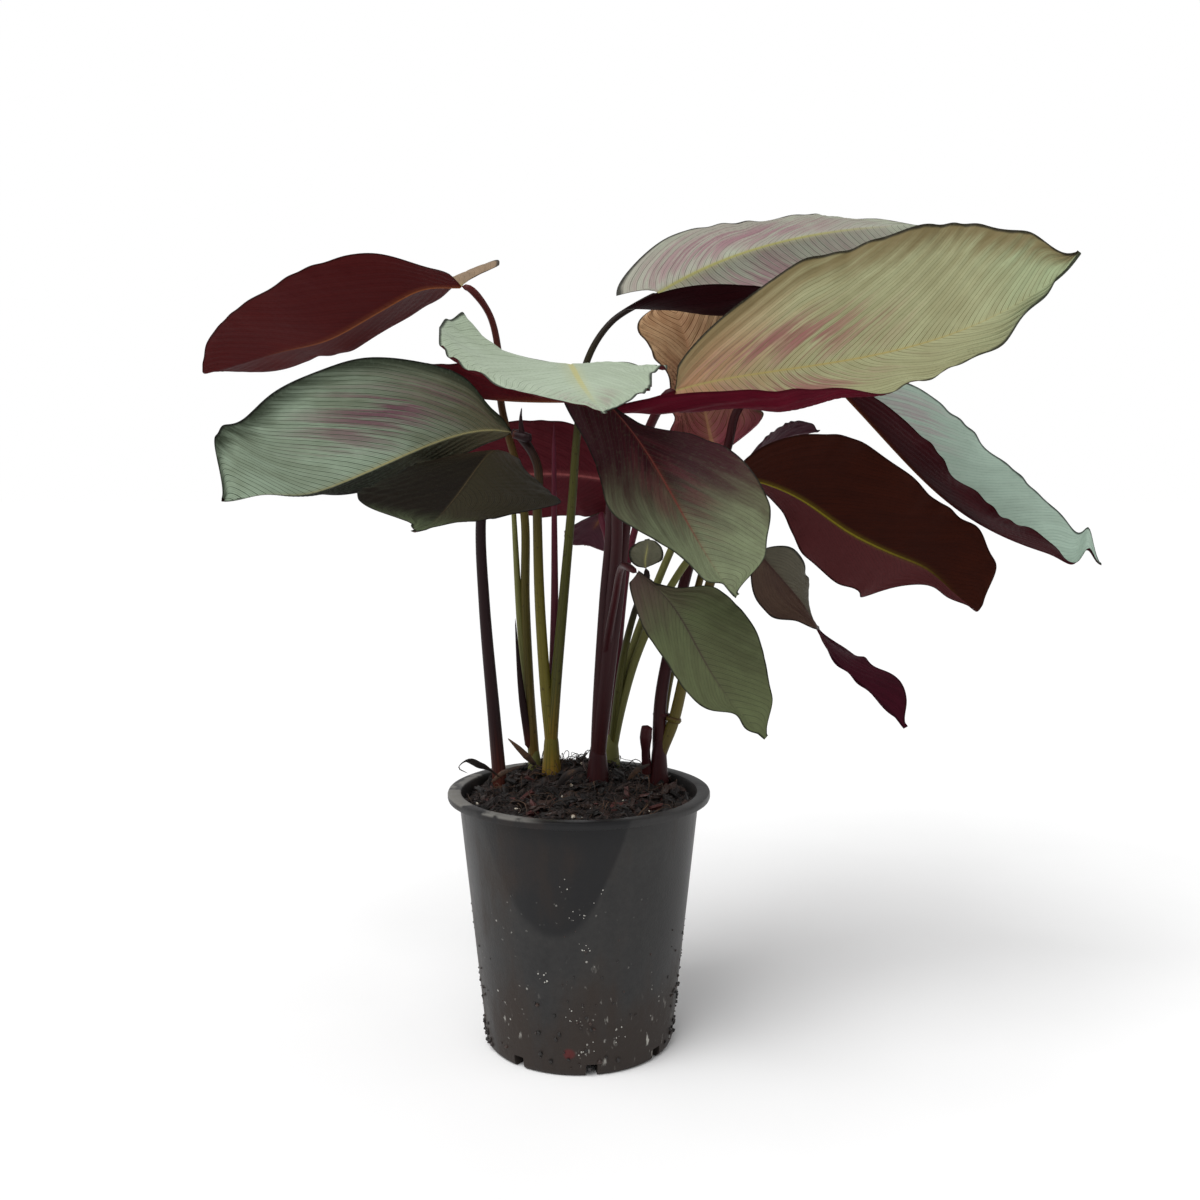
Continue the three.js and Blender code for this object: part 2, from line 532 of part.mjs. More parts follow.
// Shoots: each has a foot that stands in the soil, and stalks that rise from it.
// A stalk with a blade ends at that blade's foot and meets it from below at the angle turn.
const SHOOTS = [
  {
    name: 'shoot_far_left', colour: 'stalkDark', foot: [-44.5, 25], radius: 4.4, top: 146,
    stalks: [
      { radii: [4.2, 2.5], points: [[-47, 25, 166], [-52, 22, 234], [-53, 18, 280], [-49, 15, 305]],
        blade: 'blade_low_left', turn: 50 },
    ],
  },
  {
    name: 'shoot_left', colour: 'stalkOlive', foot: [-26, 43], radius: 5.2, top: 150,
    stalks: [
      { radii: [3.6, 1.2], points: [[-31, 46, 190], [-34, 46, 222], [-37, 46, 279], [-38, 46, 301]] },
      { radii: [3.4, 1.7],
        points: [[-29, 45, 183], [-31, 46, 234], [-31, 46, 279], [-35, 46, 307], [-41, 46, 330],
          [-44, 46, 345], [-45, 42, 373], [-49, 34, 391]],
        blade: 'blade_high_left', turn: 25 },
    ],
  },
  {
    name: 'shoot_middle', colour: 'stalkOlive', foot: [-16, 32], radius: 6.2, top: 165,
    stalks: [
      { radii: [3.8, 2.2], points: [[-19, 30, 185], [-22, 28, 235], [-23, 26, 282], [-23, 24, 310]],
        blade: 'blade_broad_left', turn: 25 },
      { radii: [3.8, 1], points: [[-15, 34, 184], [-14, 34, 235], [-14, 33, 282], [-14, 32, 333]] },
      { radii: [3.8, 1.5], points: [[-14, 30, 180], [-8, 28, 246], [-4, 26, 290], [-1, 24, 328],
        [4, 22, 364], [17, 22, 385]], blade: 'blade_top_back', turn: 5 },
    ],
  },
  {
    name: 'shoot_centre', colour: 'stalkDark', foot: [10, 22], radius: 7.2, top: 160,
    stalks: [
      { radii: [4.6, 2.2], points: [[11, 18, 181], [14, 8, 237], [17, -8, 281], [15, -22, 316],
        [6, -26, 343]], blade: 'blade_front_centre', turn: 50 },
      { radii: [4.6, 2.2], points: [[13, 16, 182], [17, 5, 232], [20, -15, 276], [16, -36, 316]],
        blade: 'blade_front_dark', turn: 75 },
      { radii: [4.6, 2.2], points: [[14, 16, 182], [20, 8, 232], [25, -5, 281], [31, -15, 314]],
        blade: 'blade_broad_right', turn: 40 },
      { radii: [3.6, 1.8], points: [[12, 20, 182], [16, 14, 240], [20, 6, 290], [20, -3, 325]],
        blade: 'blade_hidden_left', turn: 40 },
      { radii: [3.2, 1.6], points: [[14, 12, 205], [19, -14, 240], [22, -38, 258]],
        blade: 'blade_low_front', turn: 20 },
    ],
  },
  {
    name: 'shoot_back', colour: 'stalkOlive', foot: [18, 47], radius: 5.6, top: 158,
    stalks: [
      { radii: [3, 1.6], points: [[24, 40, 200], [30, 28, 228]], blade: 'blade_small_grey', turn: 40 },
      { radii: [3, 1.8], points: [[28, 46, 200], [42, 44, 240], [56, 44, 273], [69, 49, 298]],
        blade: 'blade_young_pleated', turn: 10 },
      { radii: [3, 1.8], points: [[31, 42, 200], [49, 28, 241], [64, 11, 264], [80, 3, 272]],
        blade: 'blade_twisted_right', turn: 10 },
      { radii: [3, 1.8], points: [[22, 50, 210], [27, 50, 256], [32, 48, 284]],
        blade: 'blade_back_burgundy', turn: 50 },
      { radii: [3, 1.5], points: [[18, 50, 200], [17, 50, 245], [15, 51, 268]],
        blade: 'blade_back_small', turn: 60 },
    ],
  },
  {
    name: 'shoot_right', colour: 'stalkDark', foot: [44, 26], radius: 6.2, top: 160,
    stalks: [
      { radii: [4.2, 2], points: [[45, 30, 179], [51, 34, 212], [60, 38, 251], [73, 40, 290],
        [82, 40, 320], [88, 40, 341], [106, 42, 354], [130, 44, 356]], blade: 'blade_long_right', turn: 10 },
      { radii: [3.8, 2.2], points: [[52, 27, 168], [61, 27, 208], [72, 24, 247], [80, 18, 273]],
        blade: 'blade_dark_right', turn: 60 },
      { radii: [3, 1.6], points: [[50, 36, 190], [66, 44, 240], [78, 54, 282]],
        blade: 'blade_hidden_right', turn: 30 },
    ],
  },
];

// Last two points of a stalk: just short of the blade's foot, and the way it comes there from below
function stalkEnd({ blade, turn }) {
  const target = LEAVES.find((candidate) => candidate.name === blade);
  const { along } = ribAt(target.rib, 0);
  const { point, upward } = bladeAt(target, 0, 0);
  const inward = along.multiplyScalar(Math.cos(radians(turn)));
  inward.addScaledVector(upward, Math.sin(radians(turn)));
  const short = GAP + 0.1 + (BLADE_THICKNESS / 2 + RIB_HEIGHT) * Math.sin(radians(turn));
  const end = point.clone().addScaledVector(inward, -short);
  return [end.clone().addScaledVector(inward, -5).toArray(), end.toArray()];
}

function shootSolid(shoot) {
  const [x, y] = shoot.foot;
  const bottom = soilHeight(x, y) - ROOT_DEPTH;
  const crown = [[x, y, bottom], [x, y, (bottom + shoot.top) / 2], [x, y, shoot.top]];
  const parts = [tubeSolid(crown, [shoot.radius, shoot.radius * 0.72])];
  for (const stalk of shoot.stalks) {
    const end = stalk.blade ? stalkEnd(stalk) : [];
    const route = [[x, y, bottom + 8], [x, y, shoot.top - 14], ...stalk.points, ...end];
    parts.push(tubeSolid(route, stalk.radii));
  }
  return joinAll(parts);
}

// Assembly
const plant = new THREE.Group();

function place(name, geometry, look) {
  const mesh = new THREE.Mesh(geometry, look);
  mesh.name = name;
  plant.add(mesh);
}

place('pot', potGeometry(), material(COLOURS.pot, 0.45));

const random = seededRandom(CHIP_SEED);
let soil = toSolid(soilGeometry());
for (let i = 0; i < CHIPS; i += 1) {
  soil = soil.add(chipSolid(random));
}
for (const shoot of SHOOTS) {
  const [x, y] = shoot.foot;
  const hole = new THREE.CylinderGeometry(shoot.radius + 0.8, shoot.radius + 0.8, 60, 12);
  hole.rotateX(Math.PI / 2);
  hole.translate(x, y, soilHeight(x, y) - ROOT_DEPTH - GAP + 30);
  soil = soil.subtract(toSolid(hole));
}
place('soil', toGeometry(soil), material(COLOURS.soil, 0.95));

for (const shoot of SHOOTS) {
  place(shoot.name, toGeometry(shootSolid(shoot)), material(COLOURS[shoot.colour], 0.5));
}
for (const item of LEAVES) {
  place(item.name, bladeGeometry(item), material(COLOURS[item.colour], 0.5));
}

export default plant;
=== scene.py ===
"""Looks of a potted silverplate calathea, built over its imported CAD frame."""

import logging
import math
import random
from dataclasses import dataclass
from enum import Enum
from typing import Callable, Sequence

import bpy
import numpy as np
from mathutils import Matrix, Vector, noise

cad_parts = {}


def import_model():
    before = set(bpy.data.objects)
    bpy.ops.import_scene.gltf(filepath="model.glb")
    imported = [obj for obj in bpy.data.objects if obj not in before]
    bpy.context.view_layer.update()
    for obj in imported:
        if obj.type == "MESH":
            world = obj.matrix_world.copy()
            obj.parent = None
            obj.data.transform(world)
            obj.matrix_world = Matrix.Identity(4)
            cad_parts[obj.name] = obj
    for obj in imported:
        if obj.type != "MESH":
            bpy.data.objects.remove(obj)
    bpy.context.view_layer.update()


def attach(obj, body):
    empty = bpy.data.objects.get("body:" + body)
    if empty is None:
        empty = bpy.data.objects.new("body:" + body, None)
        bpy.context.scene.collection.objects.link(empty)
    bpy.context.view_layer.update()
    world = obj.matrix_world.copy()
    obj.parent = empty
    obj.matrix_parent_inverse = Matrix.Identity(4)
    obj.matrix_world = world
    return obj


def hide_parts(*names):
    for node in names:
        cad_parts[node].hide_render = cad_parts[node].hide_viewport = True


LOG = logging.getLogger("calathea")
MM = 0.001
BODY = "root"
EXPOSED = 0.84
Colour = tuple[float, float, float]
Triple = tuple[float, float, float]
Place = Callable[[np.ndarray, np.ndarray], tuple[np.ndarray, dict[str, np.ndarray]]]


def tone(red: float, green: float, blue: float) -> Colour:
    """Linear colour that shows as the given display colour, from 0 to 255, under this studio's light."""
    return tuple(
        EXPOSED * (c / 12.92 if c <= 0.04045 else ((c + 0.055) / 1.055) ** 2.4)
        for c in (red / 255, green / 255, blue / 255)
    )


class Signal:
    """A number that varies over a surface: a node's socket that takes part in arithmetic."""

    def __init__(self, bench: "Bench", socket: bpy.types.NodeSocket) -> None:
        """Keeps the socket and the bench that adds its nodes."""
        self.bench = bench
        self.socket = socket

    def _with(self, operation: str, *values: "Signal | float") -> "Signal":
        """Result of one Math node with these inputs."""
        node = self.bench.add("ShaderNodeMath", {"operation": operation}, dict(enumerate(values)))
        return Signal(self.bench, node.outputs[0])

    def __add__(self, other: "Signal | float") -> "Signal":
        """Sum."""
        return self._with("ADD", self, other)

    def __radd__(self, other: float) -> "Signal":
        """Sum with a plain number first."""
        return self._with("ADD", other, self)

    def __sub__(self, other: "Signal | float") -> "Signal":
        """Difference."""
        return self._with("SUBTRACT", self, other)

    def __rsub__(self, other: float) -> "Signal":
        """Difference from a plain number."""
        return self._with("SUBTRACT", other, self)

    def __mul__(self, other: "Signal | float") -> "Signal":
        """Product."""
        return self._with("MULTIPLY", self, other)

    def __rmul__(self, other: float) -> "Signal":
        """Product with a plain number first."""
        return self._with("MULTIPLY", other, self)

    def __abs__(self) -> "Signal":
        """Size without its sign."""
        return self._with("ABSOLUTE", self)

    def fraction(self) -> "Signal":
        """Part after the whole number."""
        return self._with("FRACT", self)

    def rise(self, low: float, high: float) -> "Signal":
        """Smooth step from 0 at low to 1 at high; it falls where low is the larger."""
        down = low > high
        ends = {1: min(low, high), 2: max(low, high), 3: 1.0 if down else 0.0, 4: 0.0 if down else 1.0}
        node = self.bench.add("ShaderNodeMapRange", {"interpolation_type": "SMOOTHSTEP"}, {0: self, **ends})
        return Signal(self.bench, node.outputs[0])

    def band(self, centre: float, reach: float) -> "Signal":
        """Soft band that is 1 at centre and 0 from reach on."""
        return abs(self - centre).rise(reach, 0.0)


class Bench:
    """Makes one material and adds its nodes."""

    def __init__(self, name: str) -> None:
        """Starts an empty material."""
        self.material = bpy.data.materials.new(name)
        self.material.use_nodes = True
        self.tree = self.material.node_tree
        self.tree.nodes.clear()

    def add(self, kind: str, settings: dict | None = None, sockets: dict | None = None) -> bpy.types.Node:
        """Adds a node, sets it and fills or links its sockets.

        Args:
            kind: The node's type.
            settings: Its properties.
            sockets: Value, Signal or socket for each input's name or number.

        Returns:
            The node.
        """
        node = self.tree.nodes.new(kind)
        for key, value in (settings or {}).items():
            setattr(node, key, value)
        for key, value in (sockets or {}).items():
            source = value.socket if isinstance(value, Signal) else value
            if isinstance(source, bpy.types.NodeSocket):
                self.tree.links.new(source, node.inputs[key])
            elif node.inputs[key].type == "RGBA":
                node.inputs[key].default_value = (*source[:3], 1.0)
            else:
                node.inputs[key].default_value = source
        return node

    def place(self) -> bpy.types.NodeSocket:
        """Place on the piece, in metres."""
        return self.add("ShaderNodeTexCoord").outputs["Object"]

    def split(self, vector: bpy.types.NodeSocket) -> tuple[Signal, Signal, Signal]:
        """Three numbers of a vector."""
        node = self.add("ShaderNodeSeparateXYZ", None, {0: vector})
        return tuple(Signal(self, out) for out in node.outputs)

    def join(self, x: Signal | float, y: Signal | float, z: Signal | float) -> bpy.types.NodeSocket:
        """Vector of three numbers."""
        return self.add("ShaderNodeCombineXYZ", None, {0: x, 1: y, 2: z}).outputs[0]

    def stored(self, name: str) -> tuple[Signal, Signal, Signal]:
        """Three numbers of an attribute stored on the mesh."""
        return self.split(self.add("ShaderNodeAttribute", {"attribute_name": name}).outputs["Vector"])

    def cloud(
        self, vector: bpy.types.NodeSocket, scale: float, detail: float = 3.0, roughness: float = 0.55
    ) -> Signal:
        """Noise from 0 to 1, its scale in features to the unit."""
        sockets = {"Vector": vector, "Scale": scale, "Detail": detail, "Roughness": roughness}
        return Signal(self, self.add("ShaderNodeTexNoise", None, sockets).outputs[0])

    def cells(self, vector: bpy.types.NodeSocket, scale: float) -> Signal:
        """Distance to the nearest of scattered points."""
        node = self.add("ShaderNodeTexVoronoi", None, {"Vector": vector, "Scale": scale})
        return Signal(self, node.outputs["Distance"])

    def mix(
        self, share: Signal | float, first: Colour | bpy.types.NodeSocket, second: Colour | bpy.types.NodeSocket
    ) -> bpy.types.NodeSocket:
        """Colour between two: a share of 0 gives the first and 1 the second."""
        settings = {"data_type": "RGBA", "clamp_factor": True}
        return self.add("ShaderNodeMix", settings, {0: share, 6: first, 7: second}).outputs[2]

    def bump(self, height: Signal, distance: float, strength: float = 1.0) -> bpy.types.NodeSocket:
        """Normal of a fine relief, its distance in metres."""
        sockets = {"Height": height, "Distance": distance, "Strength": strength}
        return self.add("ShaderNodeBump", None, sockets).outputs[0]

    def finish(self, **sockets: object) -> bpy.types.Material:
        """Closes the material; _ stands for each space in the surface shader's input names."""
        inputs = {key.replace("_", " "): value for key, value in sockets.items()}
        shader = self.add("ShaderNodeBsdfPrincipled", None, inputs)
        self.add("ShaderNodeOutputMaterial", None, {"Surface": shader.outputs[0]})
        return self.material


def closed_sheet(name: str, around: int, along: int, place: Place) -> bpy.types.Object:
    """Models a closed piece from a grid that is wrapped round: a tube, a blade or a turned form.

    Args:
        name: The piece's name.
        around: Faces round the section.
        along: Faces from one end to the other.
        place: Gives the places in millimetres, and values to store, for shares round and along.

    Returns:
        The piece, with its place in its mesh.
    """
    bpy.ops.mesh.primitive_grid_add(x_subdivisions=around, y_subdivisions=along, size=2.0)
    piece = bpy.context.object
    piece.name = name
    mesh = piece.data
    mesh.name = name
    flat = np.empty(len(mesh.vertices) * 3)
    mesh.vertices.foreach_get("co", flat)
    flat = flat.reshape(-1, 3)
    q = np.round((flat[:, 0] + 1) / 2 * around) / around
    u = np.round((flat[:, 1] + 1) / 2 * along) / along
    points, stored = place(q, u)
    mesh.vertices.foreach_set("co", (points * MM).ravel())
    for key, values in stored.items():
        if key == "slot":
            continue
        attribute = mesh.attributes.new(key, "FLOAT_VECTOR", "POINT")
        attribute.data.foreach_set("vector", values.ravel())
    if "slot" in stored:
        corners = np.empty(len(mesh.polygons) * 4, int)
        mesh.polygons.foreach_get("vertices", corners)
        middle = q[corners.reshape(-1, 4)].mean(1)
        mesh.polygons.foreach_set("material_index", (middle > 0.5).astype(int))
    bpy.ops.object.mode_set(mode="EDIT")
    bpy.ops.mesh.select_all(action="SELECT")
    bpy.ops.mesh.remove_doubles(threshold=2e-6)
    bpy.ops.mesh.normals_make_consistent(inside=False)
    bpy.ops.object.mode_set(mode="OBJECT")
    bpy.ops.object.shade_smooth_by_angle(angle=math.radians(65))
    return piece


def dress(piece: bpy.types.Object, slot: str, materials: Sequence[bpy.types.Material], *nodes: str) -> None:
    """Gives a piece its materials and ties it to the frame.

    Args:
        piece: The piece.
        slot: The material slot that it belongs to; not used.
        materials: Its materials in order.
        nodes: CAD nodes that it stands for.
    """
    for material in materials:
        piece.data.materials.append(material)
    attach(piece, BODY)
    if nodes:
        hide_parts(*nodes)
    LOG.info("%s: %d faces", piece.name, len(piece.data.polygons))


def join_pieces(name: str, pieces: Sequence[bpy.types.Object]) -> bpy.types.Object:
    """Joins several objects into one of this name, with its place in its mesh."""
    bpy.ops.object.select_all(action="DESELECT")
    for piece in pieces:
        piece.select_set(True)
    bpy.context.view_layer.objects.active = pieces[0]
    bpy.ops.object.join()
    bpy.ops.object.transform_apply(location=True, rotation=True, scale=True)
    joined = bpy.context.object
    joined.name = name
    joined.data.name = name
    return joined


def mark(piece: bpy.types.Object, values: Triple) -> None:
    """Stores three numbers on every point of a bit."""
    attribute = piece.data.attributes.new("chip", "FLOAT_VECTOR", "POINT")
    attribute.data.foreach_set("vector", values * len(piece.data.vertices))


def unit(vectors: np.ndarray) -> np.ndarray:
    """Vectors at length 1."""
    return vectors / np.linalg.norm(vectors, axis=-1, keepdims=True)


def blend(values: Sequence[float], t: np.ndarray) -> np.ndarray:
    """Smooth change through the values at the foot, the middle and the tip."""
    foot, middle, tip = values
    return foot * (2 * (t - 0.5) * (t - 1)) - middle * (4 * t * (t - 1)) + tip * (2 * t * (t - 0.5))


@dataclass(frozen=True)
class Half:
    """One side of a blade: its widest reach in millimetres, and its fold in degrees.

    Each bump has its place along the blade, its spread, the millimetres by which the margin
    stands out there and, where it is lifted too, the millimetres of that.
    """

    width: float
    rise: Triple | float = 0.0
    curl: Triple | float = 0.0
    lobe: float = 0.0
    sweep: float = 0.0
    belly: float = 0.8
    bumps: tuple[tuple[float, ...], ...] = ()

    def three(self, value: Triple | float) -> Triple:
        """A value for the foot, the middle and the tip."""
        return value if isinstance(value, tuple) else (value, value, value)


class Paint(Enum):
    """Colours that the leaves share."""

    DARK_EDGE = tone(16, 16, 12)
    RIB_YELLOW = tone(168, 164, 104)
    RIB_BROWN = tone(122, 74, 46)
    PINK = tone(150, 96, 112)


@dataclass(frozen=True)
class LeafLook:
    """Finish of one face of a leaf; on some leaves its half, tip, foot and band colours are painted shade and light,
    as noted at each leaf.
    """

    body: Colour
    second: Colour
    rib: Colour = Paint.RIB_YELLOW.value
    rib_mm: float = 1.1
    rib_end: float = 0.95
    edge: Colour = Paint.DARK_EDGE.value
    edge_mm: float = 1.3
    band: Colour = tone(44, 52, 38)
    band_mm: float = 0.0
    band_side: float = 1.0
    blush: Colour = Paint.PINK.value
    blush_share: float = 0.0
    blush_along: tuple[float, float] = (0.35, 0.4)
    blush_across: tuple[float, float] = (0.3, 0.35)
    foot: Colour | None = None
    foot_reach: float = 0.3
    foot_slant: float = 0.0
    foot_core: float = 0.1
    left: Colour | None = None
    left_share: float = 0.9
    tip: Colour | None = None
    vein: float = 0.45
    vein_colour: Colour | None = None
    roughness: float = 0.45
    gloss: float = 0.1
    mottle: float = 0.5

    def base(self, bench: Bench, patches: Signal, brushed: Signal) -> bpy.types.NodeSocket:
        """Ground colour of body, half, tip and foot, clouded by the patches and the brushed streaks."""
        across, along, _ = bench.stored("leaf")
        share = (patches * 0.55 + brushed * 0.45).rise(0.64, 0.36) * self.mottle * 1.4
        colour = bench.mix(share, self.body, self.second)
        if self.left is not None:
            half = across.rise(0.01, -0.05) * self.left_share
            colour = bench.mix(half, colour, self.left)
        if self.tip is not None:
            colour = bench.mix((along + (brushed - 0.5) * 0.2).rise(0.7, 1.0), colour, self.tip)
        if self.foot is not None:
            reach = along + (brushed - 0.5) * 0.3 + across * self.foot_slant
            core = self.foot_reach * self.foot_core - 0.05
            colour = bench.mix(reach.rise(self.foot_reach, core), colour, self.foot)
        return colour

    def material(self, name: str, under: bool) -> bpy.types.Material:
        """Builds the finish.

        Args:
            name: The material's name.
            under: Whether it is the lower face, where the veins stand out.

        Returns:
            The material.
        """
        bench = Bench(name)
        across, along, to_edge = bench.stored("leaf")
        phase, streak, from_rib = bench.stored("vein")
        place = bench.place()
        away = abs(across)
        wobble = bench.cloud(place, 60.0, 2.0) - 0.5
        lines = phase + wobble * 0.45
        coarse = abs(lines.fraction() - 0.5).rise(0.11, 0.02)
        fine = abs((lines * 3.0).fraction() - 0.5).rise(0.26, 0.04)
        brushed = bench.cloud(bench.join(lines * 0.4, streak * 1.3, along), 1.0, 4.0, 0.6)
        patches = bench.cloud(place, 26.0, 4.0, 0.6)
        colour = self.base(bench, patches, brushed)
        if self.blush_share:
            window = along.band(*self.blush_along) * away.band(*self.blush_across)
            fine_strokes = bench.cloud(bench.join(lines * 1.3, streak * 1.1, along), 1.0, 3.0, 0.5)
            strokes = (brushed * 0.5 + fine_strokes * 0.5 + window * 0.12).rise(0.5, 0.64)
            shown = self.blush_share * (1 - across.rise(0.01, -0.05) * self.left_share if self.left else 1.0)
            colour = bench.mix(strokes * window * shown, colour, self.blush)
        line_colour = self.vein_colour or tuple(c * 0.5 for c in self.body)
        faded = to_edge.rise(0.0, 4.0) * along.rise(0.0, 0.05)
        uneven = bench.cloud(place, 90.0, 2.0).rise(0.1, 0.6)
        colour = bench.mix((coarse * 0.85 + fine * 0.35) * uneven * self.vein * faded, colour, line_colour)
        rib = from_rib.rise(self.rib_mm, self.rib_mm * 0.4) * along.rise(self.rib_end, self.rib_end * 0.5)
        colour = bench.mix(rib * 0.9, colour, self.rib)
        halo = from_rib.rise(self.rib_mm * 4.0, 0.0) * along.rise(self.rib_end, self.rib_end * 0.5)
        colour = bench.mix(halo * 0.3, colour, self.rib)
        if self.band_mm:
            side = (across * self.band_side).rise(0.0, 0.3)
            soft = (to_edge + (brushed - 0.5) * self.band_mm * 1.2).rise(self.band_mm, 0.0)
            colour = bench.mix(soft * side * 0.95, colour, self.band)
        rough_edge = bench.cloud(place, 160.0, 2.0) * 0.8
        margin = (to_edge + rough_edge).rise(self.edge_mm + 0.9, self.edge_mm * 0.5 + 0.3)
        colour = bench.mix(margin * 0.9, colour, self.edge)
        specks = bench.cloud(place, 650.0, 2.0)
        colour = bench.mix(specks.rise(0.5, 0.8) * 0.18, colour, tuple(c * 0.55 for c in self.body))
        sign = 1.0 if under else -1.0
        height = coarse * 0.5 * sign + fine * 0.25 * sign + specks * 0.2
        rough = self.roughness + (patches - 0.5) * 0.2 + coarse * 0.05
        normal = bench.bump(height, 0.00035, 0.6)
        return bench.finish(
            Base_Color=colour, Roughness=rough, Normal=normal, Specular_IOR_Level=self.gloss
        )


@dataclass(frozen=True)
class BladeForm:
    """Shape of one blade, in the same values as the CAD solid that it stands for."""

    name: str
    slot: str
    rib: tuple[Triple, Triple, Triple, Triple]
    face: tuple
    left: Half
    right: Half
    upper: LeafLook
    under: LeafLook
    full: float = 0.62
    drip: float = 0.05
    wave: Triple = (1.2, 3, 0.2)
    bends: tuple[tuple[float, float, Triple], ...] = ()
    rows: int = 150
    columns: int = 40
    vein_mm: float = 4.0
    vein_reach: float = 0.45
    relief_mm: float = 0.16
    pleat_mm: float = 0.25
    pleat_width: float = 11.0
    frill_mm: float = 0.4
    frill_count: float = 9.0

    LOBE_REACH = 0.16
    FOOT_HALF_WIDTH = 1.4
    THICKNESS = 0.55
    RIB_HEIGHT = 1.1

    def rib_at(self, t: np.ndarray) -> tuple[np.ndarray, np.ndarray]:
        """Points of the rib, a cubic through its four points, and unit directions toward the tip."""
        p0, p1, p2, p3 = (np.array(p, float) for p in self.rib)
        b1 = (-5 * p0 + 18 * p1 - 9 * p2 + 2 * p3) / 6
        b2 = (2 * p0 - 9 * p1 + 18 * p2 - 5 * p3) / 6
        t = t[:, None]
        points = (1 - t) ** 3 * p0 + 3 * (1 - t) ** 2 * t * b1 + 3 * (1 - t) * t**2 * b2 + t**3 * p3
        ways = (1 - t) ** 2 * (b1 - p0) + 2 * (1 - t) * t * (b2 - b1) + t**2 * (p3 - b2)
        return points, unit(ways)

    def length(self) -> float:
        """Length of the rib in millimetres."""
        points, _ = self.rib_at(np.linspace(0, 1, 60))
        return float(np.linalg.norm(np.diff(points, axis=0), axis=1).sum())

    def outline(self, t: np.ndarray, belly: float) -> np.ndarray:
        """Share of the full half-width at each t."""
        across = 2 * t**belly - 1
        return np.clip(1 - across**2, 0, 1) ** self.full * (1 - 0.8 * np.exp(-(((1 - t) / self.drip) ** 2)))

    def sheet_at(self, t: np.ndarray, s: np.ndarray) -> tuple[np.ndarray, np.ndarray, np.ndarray]:
        """Middle surface of the blade.

        Args:
            t: Shares from foot to tip.
            s: Shares across, from -1 at the left margin to 1 at the right.

        Returns:
            Points, upward directions, and distances to the margin in millimetres.
        """
        centre, way = self.rib_at(t)
        for at_t, spread, shift in self.bends:
            centre = centre + np.exp(-(((t - at_t) / spread) ** 2))[:, None] * np.array(shift, float)
        faces = self.face if isinstance(self.face[0], tuple) else (self.face,) * 3
        face = np.stack([blend([f[i] for f in faces], t) for i in range(3)], axis=1)
        side = unit(np.cross(way, face))
        up = np.cross(side, way)
        points = np.zeros_like(centre)
        upward = np.zeros_like(centre)
        to_edge = np.zeros_like(t)
        wave, count, start = self.wave
        for half, sign in ((self.left, -1.0), (self.right, 1.0)):
            mine = s < 0 if sign < 0 else s >= 0
            a = np.abs(s)
            share = self.outline(t, half.belly)
            wider, lifted = np.zeros_like(t), np.zeros_like(t)
            for at_t, spread, out, *raised in half.bumps:
                near = np.exp(-(((t - at_t) / spread) ** 2))
                wider = wider + near * out
                lifted = lifted + near * (raised[0] if raised else 0.0)
            width = np.maximum(half.width * share + wider * share**0.3, self.FOOT_HALF_WIDTH)
            rise = np.radians(blend(half.three(half.rise), t))
            curl = np.radians(blend(half.three(half.curl), t))
            curl = np.where(np.abs(curl) < 1e-3, 1e-3, curl)
            angle = rise + curl * a
            out = (np.sin(angle) - np.sin(rise)) / curl * width
            lift = (np.cos(rise) - np.cos(angle)) / curl * width
            normal = up * np.cos(angle)[:, None] - sign * side * np.sin(angle)[:, None]
            lobe = half.lobe * np.exp(-((t / self.LOBE_REACH) ** 2)) * a**1.6 * np.minimum(1, t / 0.02)
            ripple = wave * np.sin(2 * np.pi * (count * t + start + (0.37 if sign < 0 else 0)))
            ripple = (ripple * np.sqrt(np.sin(np.pi * np.clip(t, 0, 1))) + lifted) * a**3
            at = centre + sign * side * out[:, None] + up * lift[:, None]
            at = at + way * (half.sweep * a * share - lobe)[:, None] + normal * ripple[:, None]
            points[mine] = at[mine]
            upward[mine] = normal[mine]
            to_edge[mine] = (width * (1 - a))[mine]
        return points, upward, to_edge

    def vein_phase(self, t: np.ndarray, s: np.ndarray) -> np.ndarray:
        """Number of the side vein at each place; it is constant along a vein."""
        bend = self.vein_reach * np.abs(s) ** 1.25 * (0.35 + 0.65 * np.sin(np.pi * np.clip(t, 0, 1)))
        return (t - bend) * self.length() / self.vein_mm

    def place(self, q: np.ndarray, u: np.ndarray) -> tuple[np.ndarray, dict[str, np.ndarray]]:
        """Places the closed blade: its upper face for q under one half, its lower face past it.

        Args:
            q: Shares round the section.
            u: Shares from foot to tip.

        Returns:
            Points in millimetres, and the values stored on them.
        """
        t = 0.6 * u + 0.4 * (0.5 - 0.5 * np.cos(np.pi * u))
        top = q <= 0.5
        s = np.where(top, 4 * q - 1, 3 - 4 * q)
        points, upward, to_edge = self.sheet_at(t, s)
        phase = self.vein_phase(t, s)
        a = np.abs(s)
        inside = np.clip(to_edge / 4, 0, 1) * np.clip(a / 0.06, 0, 1) * np.clip(t / 0.06, 0, 1)
        furrow = np.abs(np.cos(np.pi * phase)) ** 0.7 - 0.55
        rng = random.Random(self.name)
        swell = sum(
            rng.uniform(0.15, 0.5) * np.sin(2 * np.pi * (rng.uniform(1, 5) * t + rng.uniform(-1.2, 1.2) * s + k / 5))
            for k in range(5)
        )
        folds = np.sin(2 * np.pi * (phase * self.vein_mm / self.pleat_width + 0.15 * np.sin(5 * s + 9 * t)))
        height = (self.relief_mm * furrow + self.pleat_mm * folds * a**0.5 + 0.5 * swell * a) * inside
        beat = self.frill_count * (t + 0.03 * np.sin(17 * t + 2 * (s > 0))) + 0.3 * (s > 0)
        height = height + self.frill_mm * np.sin(2 * np.pi * beat) * a**4 * np.sin(np.pi * np.clip(t, 0, 1))
        ends = np.clip(np.minimum(u, 1 - u) / 0.02, 0, 1) ** 0.5
        thick = self.THICKNESS * (0.35 + 0.65 * np.clip(to_edge / 5, 0, 1)) * ends
